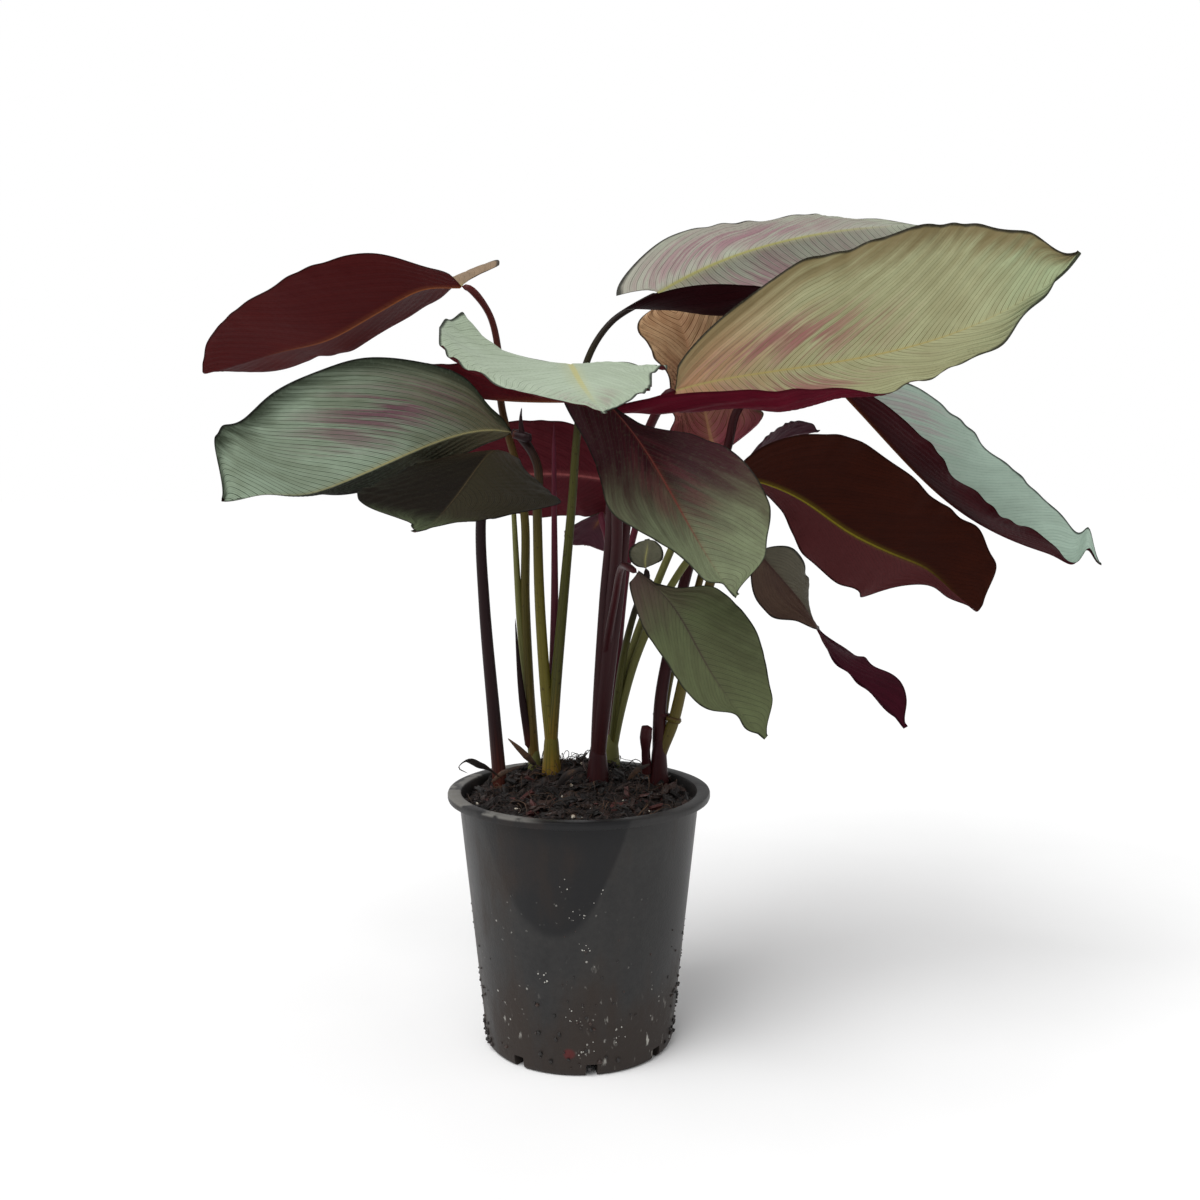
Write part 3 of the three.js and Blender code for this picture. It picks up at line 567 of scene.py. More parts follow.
        across_rib = a * np.maximum(self.left.width, self.right.width) * self.outline(t, 0.8)
        bulge = np.exp(-((across_rib / 1.5) ** 2)) * (1 - 0.8 * t) * ends
        lift = np.where(top, thick / 2 + height - 0.45 * bulge, -thick / 2 + height - self.RIB_HEIGHT * bulge)
        stored = {
            "leaf": np.stack([s, t, to_edge], axis=1),
            "vein": np.stack([phase, a * 2.0 + (s > 0) * 7.0, across_rib], axis=1),
            "slot": top,
        }
        return points + upward * lift[:, None], stored

    def build(self) -> None:
        """Models the blade and gives it its two faces."""
        blade = closed_sheet(self.name.replace("blade", "leaf"), self.columns * 2, self.rows, self.place)
        upper = self.upper.material(f"{self.name}_upper", under=False)
        under = self.under.material(f"{self.name}_under", under=True)
        dress(blade, self.slot, (upper, under), self.name)


def burgundy(body: Colour, second: Colour, **changes: object) -> LeafLook:
    """Lower face of a leaf, in one of its reds.

    Args:
        body: The main colour.
        second: The colour that clouds it.
        changes: Values of the finish that differ from the common ones.

    Returns:
        The finish.
    """
    dark = tuple(c * 0.5 for c in body)
    common = {"rib": Paint.RIB_BROWN.value, "edge": dark, "vein_colour": dark, "vein": 0.4, "gloss": 0.03,
              "roughness": 0.55, "mottle": 0.45, "rib_end": 0.6}
    return LeafLook(body, second, **{**common, **changes})


UNDER = burgundy(tone(84, 24, 30), tone(64, 18, 22))
SILVER = LeafLook(tone(172, 188, 166), tone(150, 164, 142), blush_share=0.6, vein_colour=tone(112, 126, 104))
OLIVE = LeafLook(tone(96, 106, 82), tone(76, 80, 62), tone(118, 112, 78), vein_colour=tone(54, 58, 42))

BLADES = (
    BladeForm(
        "blade_high_left", "leaf_burgundy", ((-63, 25, 404), (-112, 50, 395), (-169, 75, 378),
            (-224, 95, 364)), (0, 0.35, 0.94),
        Half(42, (12, 8, 15), lobe=2, bumps=((0.1, 0.09, -11), (0.4, 0.12, 7), (0.6, 0.22, 7),
            (0.98, 0.03, 8))),
        Half(43.7, (55, 14, 22), lobe=18, bumps=((0.05, 0.05, 8), (0.23, 0.08, 8), (0.5, 0.16, -18),
            (0.66, 0.07, -6), (0.96, 0.03, -8))),
        LeafLook(tone(150, 126, 100), tone(118, 100, 80)),
        burgundy(tone(78, 26, 26), tone(60, 18, 22), rib=tone(150, 86, 50), rib_mm=0.8, rib_end=0.8,
            left=tone(86, 28, 28), left_share=0.5),
        bends=((0.17, 0.12, (0, 0, 4)), (0.52, 0.15, (0, 0, -5))),
    ),
    BladeForm(
        "blade_broad_left", "leaf_silver", ((-37, 24, 327), (-80, 5, 319), (-127, -20, 297),
            (-174, -45, 290)), ((0, -0.93, -0.35), (0, -0.93, -0.35), (0, -0.95, 0.1)),
        Half(14, (0, -20, -150), (-10, -20, -30), sweep=4, belly=0.9, bumps=((0.62, 0.1, -4),
            (0.8, 0.12, -6))),
        Half(58, -25, 10, sweep=23, belly=1.15, bumps=((0.3, 0.1, 3), (0.72, 0.15, -9), (0.87, 0.05, -5),
            (0.04, 0.04, -9))),
        # Painted shade: the near-black left half stands for that half hanging in deep shadow below the fold, and the
        # dark foot and the dark band along the right margin are painted shade as well.
        LeafLook(tone(154, 172, 150), tone(124, 136, 114), rib=tone(160, 152, 104), rib_mm=0.9, band_mm=13.0,
            blush=tone(118, 76, 90), blush_share=0.95, blush_along=(0.36, 0.48), blush_across=(0.45, 0.55),
            foot=tone(96, 88, 66), foot_reach=0.5, left=tone(20, 10, 9), left_share=0.97, vein=1.0,
            vein_colour=tone(70, 84, 66), mottle=0.6),
        # Painted shade: this lower face is near black for the deep shadow that it lies in.
        burgundy(tone(34, 14, 14), tone(24, 10, 10)),
        full=0.5, drip=0.03, pleat_mm=0.4, wave=(1.5, 3, 0.2), rows=190, columns=48, bends=((0.87, 0.1,
            (0, 0, 5)),),
    ),
    BladeForm(
        "blade_low_left", "leaf_olive", ((-43, 8, 317), (-50, -28, 308), (-60, -70, 289), (-70, -115, 279)),
            (0, -0.22, 0.97),
        Half(46, (-10, 0, 15), (-10, 0, 0), lobe=2, sweep=14, belly=1.05, bumps=((0.2, 0.12, -10),
            (0.5, 0.06, 6), (0.66, 0.06, -11), (0.84, 0.13, -26))),
        Half(56, (-8, -2, 15), (-10, 0, 0), lobe=6, belly=0.75, bumps=((0.3, 0.15, -16), (0.52, 0.08, -4),
            (0.88, 0.08, -20))),
        # Painted shade and light: the near-black body and second colour are the shadow of the broad leaf above, the
        # lighter left half is the side less in shade, and the lighter tip is painted light where it bends down into
        # the light.
        LeafLook(tone(18, 13, 8), tone(27, 22, 14), rib=tone(72, 62, 42), rib_mm=0.4, foot=tone(44, 34, 24),
            foot_reach=0.3, tip=tone(96, 108, 78), left=tone(54, 50, 34), left_share=0.75,
            vein_colour=tone(16, 12, 8)),
        burgundy(tone(96, 34, 46), tone(76, 26, 34)),
        full=0.8, wave=(1, 3, 0.4),
    ),
    BladeForm(
        "blade_front_centre", "leaf_silver", ((-3, -33, 357), (-1, -85, 352), (5, -138, 339),
            (13, -175, 327)), (0.05, -0.25, 0.96),
        Half(32, (0, 5, 5), lobe=3, bumps=((0.15, 0.08, -10), (0.38, 0.1, 10), (0.9, 0.1, -6))),
        Half(63, -2, 16, lobe=3, bumps=((0.12, 0.08, -2, 2), (0.25, 0.05, -4, 7), (0.38, 0.2, 0, 12),
            (0.75, 0.1, -12), (0.9, 0.07, -26))),
        LeafLook(tone(180, 194, 172), tone(164, 178, 154), rib=tone(186, 182, 124), rib_mm=2.2,
            blush_share=0.35, blush_along=(0.85, 0.3), vein_colour=tone(128, 142, 118)),
        UNDER,
        wave=(1, 3, 0.4), frill_mm=1.1, frill_count=11.0, pleat_mm=0.4,
    ),
    BladeForm(
        "blade_hidden_left", "leaf_burgundy", ((10, -5, 342), (-25, 15, 343), (-68, 32, 348),
            (-112, 46, 364)), (0, 0, 1),
        Half(22, 55),
        Half(24, 50),
        SILVER,
        burgundy(tone(88, 18, 26), tone(66, 14, 20)),
    ),
    BladeForm(
        "blade_front_dark", "leaf_olive", ((5, -54, 345), (31, -75, 317), (51, -100, 281), (70, -125, 252)),
            (-0.1, -0.85, 0.5),
        Half(40, 0, -10, lobe=4, belly=2.0, bumps=((0.2, 0.12, -14), (0.28, 0.05, -5), (0.47, 0.1, 4),
            (0.85, 0.12, -9))),
        Half(25, (-15, -25, -50), -10, lobe=14, belly=0.85, bumps=((0.45, 0.1, 5), (0.75, 0.16, -10),
            (0.92, 0.05, -8))),
        # The dark burgundy over the foot and in the blush is partly the leaf's own tint, partly painted shade from
        # the leaves above.
        LeafLook(tone(122, 132, 100), tone(98, 102, 78), rib=tone(120, 60, 52), rib_mm=0.6,
            foot=tone(54, 16, 24), foot_reach=0.8, foot_slant=0.12, foot_core=0.5, blush=tone(92, 34, 44),
            blush_share=0.6, blush_along=(0.5, 0.4), blush_across=(0.2, 0.4), vein_colour=tone(70, 66, 54),
            edge_mm=0.7),
        UNDER,
    ),
    BladeForm(
        "blade_low_front", "leaf_olive", ((29, -60, 257), (49, -75, 237), (63, -85, 212), (88, -90, 183)),
            (-0.1, -0.9, 0.4),
        Half(28, 0, lobe=3, belly=1.2, bumps=((0.12, 0.1, -14), (0.21, 0.05, -5), (0.96, 0.05, 5))),
        Half(17, -20, lobe=3, bumps=((0.2, 0.15, 2.5), (0.87, 0.06, -8))),
        LeafLook(tone(94, 102, 70), tone(78, 80, 56), rib=tone(66, 58, 48), rib_mm=0.6, foot=tone(84, 66, 60),
            foot_reach=0.4, vein_colour=tone(58, 62, 46), edge_mm=0.6),
        UNDER,
    ),
    BladeForm(
        "blade_small_grey", "leaf_silver", ((36, 20, 254), (36, 23, 259), (37, 26, 264), (37, 29, 269)),
            (0, -0.8, 0.6),
        Half(9.5, 0, belly=0.9),
        Half(9.5, 0, belly=0.9),
        LeafLook(tone(112, 112, 92), tone(88, 86, 70), rib_mm=0.4),
        UNDER,
        wave=(0.4, 2, 0), rows=60, columns=20, vein_mm=2.2,
    ),
    BladeForm(
        "blade_dark_right", "leaf_burgundy", ((86, 8, 302), (126, 32, 289), (178, 55, 260), (234, 76, 224)),
            (0, 0.74, 0.67),
        Half(44, (35, 2, 25), lobe=2, belly=0.85, bumps=((0.2, 0.24, -28), (0.35, 0.1, -4), (0.52, 0.12, -6),
            (0.755, 0.03, 12), (0.86, 0.08, -20), (0.95, 0.04, -5))),
        Half(50, 17, lobe=8, sweep=6, belly=1.0, bumps=((0.42, 0.12, -4), (0.62, 0.1, -8), (0.74, 0.05, -5),
            (0.97, 0.06, 17))),
        SILVER,
        burgundy(tone(56, 21, 11), tone(42, 15, 9), rib=tone(130, 118, 34), rib_mm=0.9, rib_end=0.95,
            left=tone(88, 42, 44), left_share=0.95, vein_colour=tone(34, 14, 12)),
        frill_mm=0.8, frill_count=8.0, bends=((0.5, 0.15, (0, 0, -4)), (0.8, 0.1, (0, 0, 4))),
    ),
    BladeForm(
        "blade_hidden_right", "leaf_mauve", ((90, 60, 307), (104, 72, 317), (119, 83, 326), (142, 95, 330)),
            (0, 0.5, 0.86),
        Half(17, 8),
        Half(17, 8, bumps=((0.25, 0.15, 5),)),
        OLIVE,
        burgundy(tone(84, 44, 56), tone(70, 34, 46)),
        wave=(0.5, 2, 0), rows=80, columns=24,
    ),
    BladeForm(
        "blade_long_right", "leaf_silver", ((147, 46, 349), (193, 62, 305), (237, 68, 273), (300, 62, 252)),
            (0, -0.33, 0.94),
        Half(47, 45, lobe=4, bumps=((0.25, 0.15, 5), (0.8, 0.15, 2), (0.96, 0.03, 12))),
        Half(39, 33, lobe=4, bumps=((0.35, 0.15, -9), (0.55, 0.08, -5), (0.91, 0.04, -14))),
        LeafLook(tone(176, 198, 182), tone(156, 174, 160), rib=tone(178, 180, 150), rib_mm=0.8,
            blush=tone(170, 132, 146), blush_share=0.55, blush_along=(0.22, 0.32), blush_across=(0.6, 0.6),
            vein_colour=tone(112, 132, 124)),
        burgundy(tone(64, 12, 20), tone(46, 8, 14)),
        wave=(1.5, 4, 0.2), frill_mm=0.7, bends=((0.93, 0.04, (0, 0, -3)), (0.965, 0.02, (0, 0, 9))),
    ),
    BladeForm(
        "blade_broad_right", "leaf_silver", ((49, -25, 346), (114, -20, 358), (187, -12, 374), (260, 5, 416)),
            ((-0.1, -0.85, 0.5), (-0.1, -0.9, 0.4), (-0.1, -0.95, 0.3)),
        Half(63, (4, 6, 0), lobe=4, sweep=26, belly=1.05, bumps=((0.31, 0.12, 5), (0.37, 0.05, -2),
            (0.87, 0.08, -8))),
        Half(52, (-20, -8, 35), (150, 85, -100), lobe=44, sweep=-10, belly=0.72, bumps=((0.17, 0.05, -3),
            (0.28, 0.06, 8), (0.42, 0.06, -6), (0.55, 0.08, -16), (0.7, 0.1, -20), (0.87, 0.1, -25),
            (0.95, 0.03, -5))),
        LeafLook(tone(164, 166, 128), tone(146, 144, 108), rib=tone(160, 146, 90), rib_mm=0.7,
            blush=tone(140, 86, 88), blush_share=0.95, blush_along=(0.28, 0.42), blush_across=(0.28, 0.42),
            foot=tone(164, 122, 92), foot_reach=0.36, tip=tone(158, 172, 134), vein=0.8,
            vein_colour=tone(104, 98, 62), band=tone(118, 104, 70), band_mm=22.0, edge_mm=2.0, band_side=-1.0,
            mottle=0.6),
        burgundy(tone(94, 16, 34), tone(70, 12, 26)),
        full=0.57, pleat_mm=0.7, pleat_width=14.0, frill_mm=1.0, wave=(2.5, 3, 0.2), rows=240, columns=64,
            bends=((1.0, 0.03, (0, 0, 3)),),
    ),
    BladeForm(
        "blade_young_pleated", "leaf_tan", ((77, 60, 314), (71, 66, 341), (63, 74, 374), (51, 84, 408)),
            (0, -0.95, 0.3),
        Half(34, 10, (90, 30, 0), belly=1.6, bumps=((0.12, 0.12, 32), (0.55, 0.18, -14), (0.75, 0.08, -6))),
        Half(34, 10, (90, 30, 0), belly=1.6, bumps=((0.12, 0.12, 34), (0.38, 0.12, 8), (0.57, 0.14, -6))),
        # Painted light: the pink at the foot and toward the margins is the glow of light shining through the young
        # leaf.
        LeafLook(tone(214, 178, 136), tone(158, 112, 78), foot=tone(154, 70, 88), foot_reach=0.7,
            rib=tone(190, 140, 104), band=tone(96, 96, 66), band_mm=5.0, blush=tone(172, 86, 106),
            blush_share=1.0, blush_along=(0.05, 0.35), blush_across=(1.0, 0.7), vein=0.9,
            vein_colour=tone(112, 72, 48)),
        burgundy(tone(158, 60, 84), tone(118, 42, 60), gloss=0.1),
        full=0.5, pleat_mm=0.9, pleat_width=8.0,
    ),
    BladeForm(
        "blade_top_back", "leaf_silver", ((42, 25, 401), (90, 40, 425), (142, 55, 439), (194, 70, 445)),
            (-0.1, -0.45, 0.88),
        Half(41.2, (28, 4, -4), lobe=22, bumps=((0.1, 0.1, -3), (0.43, 0.08, -9), (0.77, 0.06, 8),
            (0.93, 0.04, -8))),
        Half(60, (-66, -80, -40), (210, 92, -60), lobe=30, bumps=((0.15, 0.12, 22),)),
        LeafLook(tone(168, 176, 156), tone(156, 144, 138), blush=tone(152, 106, 120), blush_share=0.85,
            blush_along=(0.35, 0.75), blush_across=(0.45, 0.75), vein=0.8, vein_colour=tone(110, 108, 98)),
        burgundy(tone(40, 10, 15), tone(28, 6, 10)),
        wave=(1.5, 4, 0.2), pleat_mm=0.5, frill_mm=0.5, rows=190, columns=56,
    ),
    BladeForm(
        "blade_twisted_right", "leaf_burgundy", ((95, 4, 263), (118, 8, 238), (148, 20, 206), (182, 30, 164)),
            ((-0.6, -2.6, 1.2), (0.75, -0.1, 0.65), (0.2, 0.9, 0.3)),
        Half(18, (20, 0, 0), bumps=((0.1, 0.1, 3), (0.38, 0.06, 7), (0.47, 0.04, -14), (0.7, 0.22, -14))),
        Half(18, (20, 10, 10), bumps=((0.22, 0.15, 11), (0.48, 0.04, -14), (0.58, 0.06, 9), (0.8, 0.15, 8))),
        LeafLook(tone(84, 66, 54), tone(64, 44, 40), rib=tone(60, 40, 34), rib_mm=0.6,
            left=tone(118, 134, 112), left_share=0.25, vein_colour=tone(52, 36, 32)),
        burgundy(tone(66, 18, 32), tone(46, 12, 22)),
        wave=(1, 3, 0.2), frill_mm=1.2, frill_count=6.0, bends=((0.65, 0.2, (-5, 0, -5)),),
    ),
    BladeForm(
        "blade_back_burgundy", "leaf_burgundy", ((25, 52, 300), (-12, 67, 305), (-53, 82, 301),
            (-94, 97, 279)), (0, 0.8, 0.6),
        Half(36, 5, lobe=4),
        Half(36, 5, lobe=4),
        SILVER,
        burgundy(tone(92, 30, 38), tone(74, 22, 30), rib=tone(156, 84, 84), rib_end=0.9),
    ),
    BladeForm(
        "blade_back_small", "leaf_mauve", ((13, 60, 283), (10, 72, 277), (6, 84, 270), (3, 95, 262)),
            (0, 0.8, 0.5),
        Half(20, -15, -30),
        Half(20, -15, -30),
        OLIVE,
        burgundy(tone(82, 42, 54), tone(68, 34, 44), edge=tone(118, 84, 88)),
        wave=(0.5, 2, 0), rows=60, columns=24,
    ),
)


@dataclass(frozen=True)
class StalkLook:
    """Finish of a stalk, from its foot in the soil to its top."""

    foot: Colour
    middle: Colour
    top: Colour
    dark: Colour = tone(34, 12, 15)
    flecks: float = 0.4
    roughness: float = 0.42

    def material(self, name: str) -> bpy.types.Material:
        """Builds the finish."""
        bench = Bench(name)
        along, around, _ = bench.stored("stalk")
        place = bench.place()
        lengthwise = bench.cloud(bench.join(around * 9.0, along * 1.5, 0.0), 1.0, 3.0)
        drift = along + (lengthwise - 0.5) * 0.3
        colour = bench.mix(drift.rise(0.0, 0.25), self.foot, self.middle)
        colour = bench.mix(drift.rise(0.45, 0.95), colour, self.top)
        stripes = lengthwise.rise(0.52, 0.72) * self.flecks
        colour = bench.mix(stripes, colour, self.dark)
        spots = bench.cloud(place, 420.0, 3.0).rise(0.62, 0.72) * self.flecks
        colour = bench.mix(spots, colour, self.dark)
        ribs = bench.cloud(bench.join(around * 40.0, along * 4.0, 0.0), 1.0, 2.0)
        height = ribs * 0.6 + bench.cloud(place, 900.0, 2.0) * 0.3
        rough = self.roughness + (lengthwise - 0.5) * 0.2
        return bench.finish(
            Base_Color=colour, Roughness=rough, Normal=bench.bump(height, 0.0003, 0.5), Specular_IOR_Level=0.14
        )


class StalkPaint(Enum):
    """Finishes of the stalks."""

    BLACKISH = StalkLook(tone(84, 42, 32), tone(34, 11, 14), tone(28, 9, 12))
    OLIVE = StalkLook(tone(116, 88, 40), tone(78, 68, 28), tone(56, 36, 24), flecks=0.8)
    ARCH = StalkLook(tone(116, 88, 40), tone(84, 76, 30), tone(80, 26, 24), flecks=0.6)
    LIME = StalkLook(tone(160, 112, 40), tone(108, 100, 36), tone(34, 14, 15), flecks=0.5)
    GREEN = StalkLook(tone(140, 108, 40), tone(78, 78, 32), tone(30, 18, 16), flecks=0.7)
    PURPLE = StalkLook(tone(120, 90, 50), tone(88, 34, 46), tone(92, 32, 48))
    BURGUNDY = StalkLook(tone(60, 26, 24), tone(50, 16, 20), tone(62, 20, 24))
    NODED = StalkLook(tone(70, 36, 26), tone(92, 82, 36), tone(76, 54, 30))


@dataclass(frozen=True)
class Stalk:
    """One stalk: its radii in millimetres, the points that it passes and its finish."""

    radii: tuple[float, float]
    points: tuple[Triple, ...]
    paint: StalkPaint
    blade: str = ""
    turn: float = 0.0


@dataclass(frozen=True)
class Sprig:
    """A small growth on a shoot: a sheath tip, a knob or a stub."""

    radii: tuple[float, ...]
    points: tuple[Triple, ...]
    paint: StalkPaint
    oval: float = 1.0

    def build(self, name: str) -> bpy.types.Object:
        """Models the growth as a tube whose radius changes along it."""
        route = smooth_route(self.points, 20)
        return tube(name, route, spread_out(self.radii, len(route)), 14, self.oval)


def spread_out(radii: Sequence[float], count: int) -> np.ndarray:
    """Radii at so many places along a route, from a few even ones."""
    return np.interp(np.linspace(0, 1, count), np.linspace(0, 1, len(radii)), radii)


def smooth_route(points: Sequence[Sequence[float]], steps: int) -> np.ndarray:
    """Even points along a smooth curve through the given ones, as the CAD solid has it.

    Args:
        points: The points that the curve passes.
        steps: How many stretches it is divided in.

    Returns:
        The points at the ends of the stretches.
    """
    given = [np.array(p, float) for p in points]
    given = [2 * given[0] - given[1], *given, 2 * given[-1] - given[-2]]
    dense = []
    for p0, p1, p2, p3 in zip(given, given[1:], given[2:], given[3:]):
        d0, d1, d2 = (max(np.linalg.norm(b - a) ** 0.5, 1e-4) for a, b in ((p0, p1), (p1, p2), (p2, p3)))
        m1 = ((p1 - p0) / d0 - (p2 - p0) / (d0 + d1) + (p2 - p1) / d1) * d1
        m2 = ((p2 - p1) / d1 - (p3 - p1) / (d1 + d2) + (p3 - p2) / d2) * d1
        w = np.linspace(0, 1, 24, endpoint=False)[:, None]
        dense.append(
            p1 + m1 * w + (-3 * p1 + 3 * p2 - 2 * m1 - m2) * w**2 + (2 * p1 - 2 * p2 + m1 + m2) * w**3
        )
    dense = np.vstack([*dense, given[-2][None]])
    reach = np.concatenate([[0], np.cumsum(np.linalg.norm(np.diff(dense, axis=0), axis=1))])
    even = np.linspace(0, reach[-1], steps + 1)
    return np.stack([np.interp(even, reach, dense[:, i]) for i in range(3)], axis=1)


def tube(
    name: str, route: np.ndarray, radii: np.ndarray, sides: int = 18, oval: float = 1.0
) -> bpy.types.Object:
    """Models a closed tube with round ends.

    Args:
        name: The piece's name.
        route: Points along its middle, in millimetres.
        radii: Radius at each point.
        sides: Faces round it.
        oval: Depth of its section over its width.

    Returns:
        The tube.
    """
    ways = unit(np.gradient(route, axis=0))
    across = np.empty_like(ways)
    last = np.array([1.0, 0.0, 0.0])
    for i, way in enumerate(ways):
        last = last - way * np.dot(last, way)
        last = last / np.linalg.norm(last)
        across[i] = last
    deep = np.cross(ways, across)
    steps = len(route) - 1

    def place(q: np.ndarray, u: np.ndarray) -> tuple[np.ndarray, dict[str, np.ndarray]]:
        """Places of the tube's skin."""
        row = np.round(u * steps).astype(int)
        angle = 2 * np.pi * q
        closed = np.where((row == 0) | (row == steps), 0.0, 1.0)
        radius = radii[row] * closed
        skin = route[row] + across[row] * (radius * np.cos(angle))[:, None]
        skin = skin + deep[row] * (radius * oval * np.sin(angle))[:, None]
        return skin, {"stalk": np.stack([u, np.cos(angle) * 0.5, np.sin(angle) * 0.5], axis=1)}

    return closed_sheet(name, sides, steps, place)


@dataclass
class Shoot:
    """A shoot: a foot that stands in the soil, and the stalks that grow from it."""

    name: str
    slot: str
    foot: tuple[float, float]
    radius: float
    top: float
    stalks: tuple[Stalk, ...]
    foot_paint: StalkPaint = StalkPaint.BURGUNDY
    sprigs: tuple[Sprig, ...] = ()
    ROOT_DEPTH = 22.0
    STEP = 2.2

    def end_of(self, stalk: Stalk) -> list[np.ndarray]:
        """Last two points of a stalk, just short of its blade's foot; none where it carries no blade."""
        if not stalk.blade:
            return []
        form = next(form for form in BLADES if form.name == stalk.blade)
        zero = np.zeros(1)
        _, way = form.rib_at(zero)
        point, upward, _ = form.sheet_at(zero, zero)
        turn = math.radians(stalk.turn)
        inward = way[0] * math.cos(turn) + upward[0] * math.sin(turn)
        end = point[0] - inward * 0.1
        return [end - inward * 5, end]

    def route(self, stalk: Stalk) -> np.ndarray:
        """Even points along a stalk, from inside the foot to the blade."""
        x, y = self.foot
        bottom = SoilForm.height(x, y) - self.ROOT_DEPTH
        points = [(x, y, bottom + 8), (x, y, self.top - 14), *stalk.points, *self.end_of(stalk)]
        length = sum(math.dist(a, b) for a, b in zip(points, points[1:]))
        return smooth_route(points, max(12, round(length / self.STEP)))

    def build(self) -> None:
        """Models the foot and the stalks, joined in one piece."""
        x, y = self.foot
        bottom = SoilForm.height(x, y) - self.ROOT_DEPTH
        share = np.linspace(0, 1, 31)
        line = np.stack([np.full(31, x), np.full(31, y), bottom + (self.top - bottom) * share], axis=1)
        taper = np.interp(share, (0, 0.5, 0.8, 0.95, 1), (1, 1, 0.86, 0.66, 0.3))
        radii = self.radius * (1 - 0.28 * share) * taper
        pieces = [tube(f"{self.name}_foot", line, radii, 24)]
        stored = pieces[0].data.attributes["stalk"]
        values = np.empty(3 * len(stored.data))
        stored.data.foreach_get("vector", values)
        values[0::3] *= 0.3
        stored.data.foreach_set("vector", values)
        paints = [self.foot_paint]
        for number, stalk in enumerate(self.stalks):
            route = self.route(stalk)
            share = np.linspace(0, 1, len(route))
            radii = stalk.radii[0] + (stalk.radii[1] - stalk.radii[0]) * share**0.8
            if stalk.blade:
                knee = np.exp(-(((1 - share) * len(route) * self.STEP - 9) / 7) ** 2)
                radii = radii * (1 + 0.16 * knee)
                radii[-3:] *= np.array([0.95, 0.85, 0.6])
            else:
                radii[-8:] *= np.linspace(1, 0.15, 8)
            pieces.append(tube(f"{self.name}_{number}", route, radii, 18))
            paints.append(stalk.paint)
        for number, sprig in enumerate(self.sprigs):
            pieces.append(sprig.build(f"{self.name}_sprig_{number}"))
            paints.append(sprig.paint)
        for piece, paint in zip(pieces, paints):
            material = bpy.data.materials.get(f"stalk_{paint.name.lower()}")
            piece.data.materials.append(material or paint.value.material(f"stalk_{paint.name.lower()}"))
        whole = join_pieces(self.name.replace("shoot", "stalks"), pieces)
        dress(whole, self.slot, (), self.name)


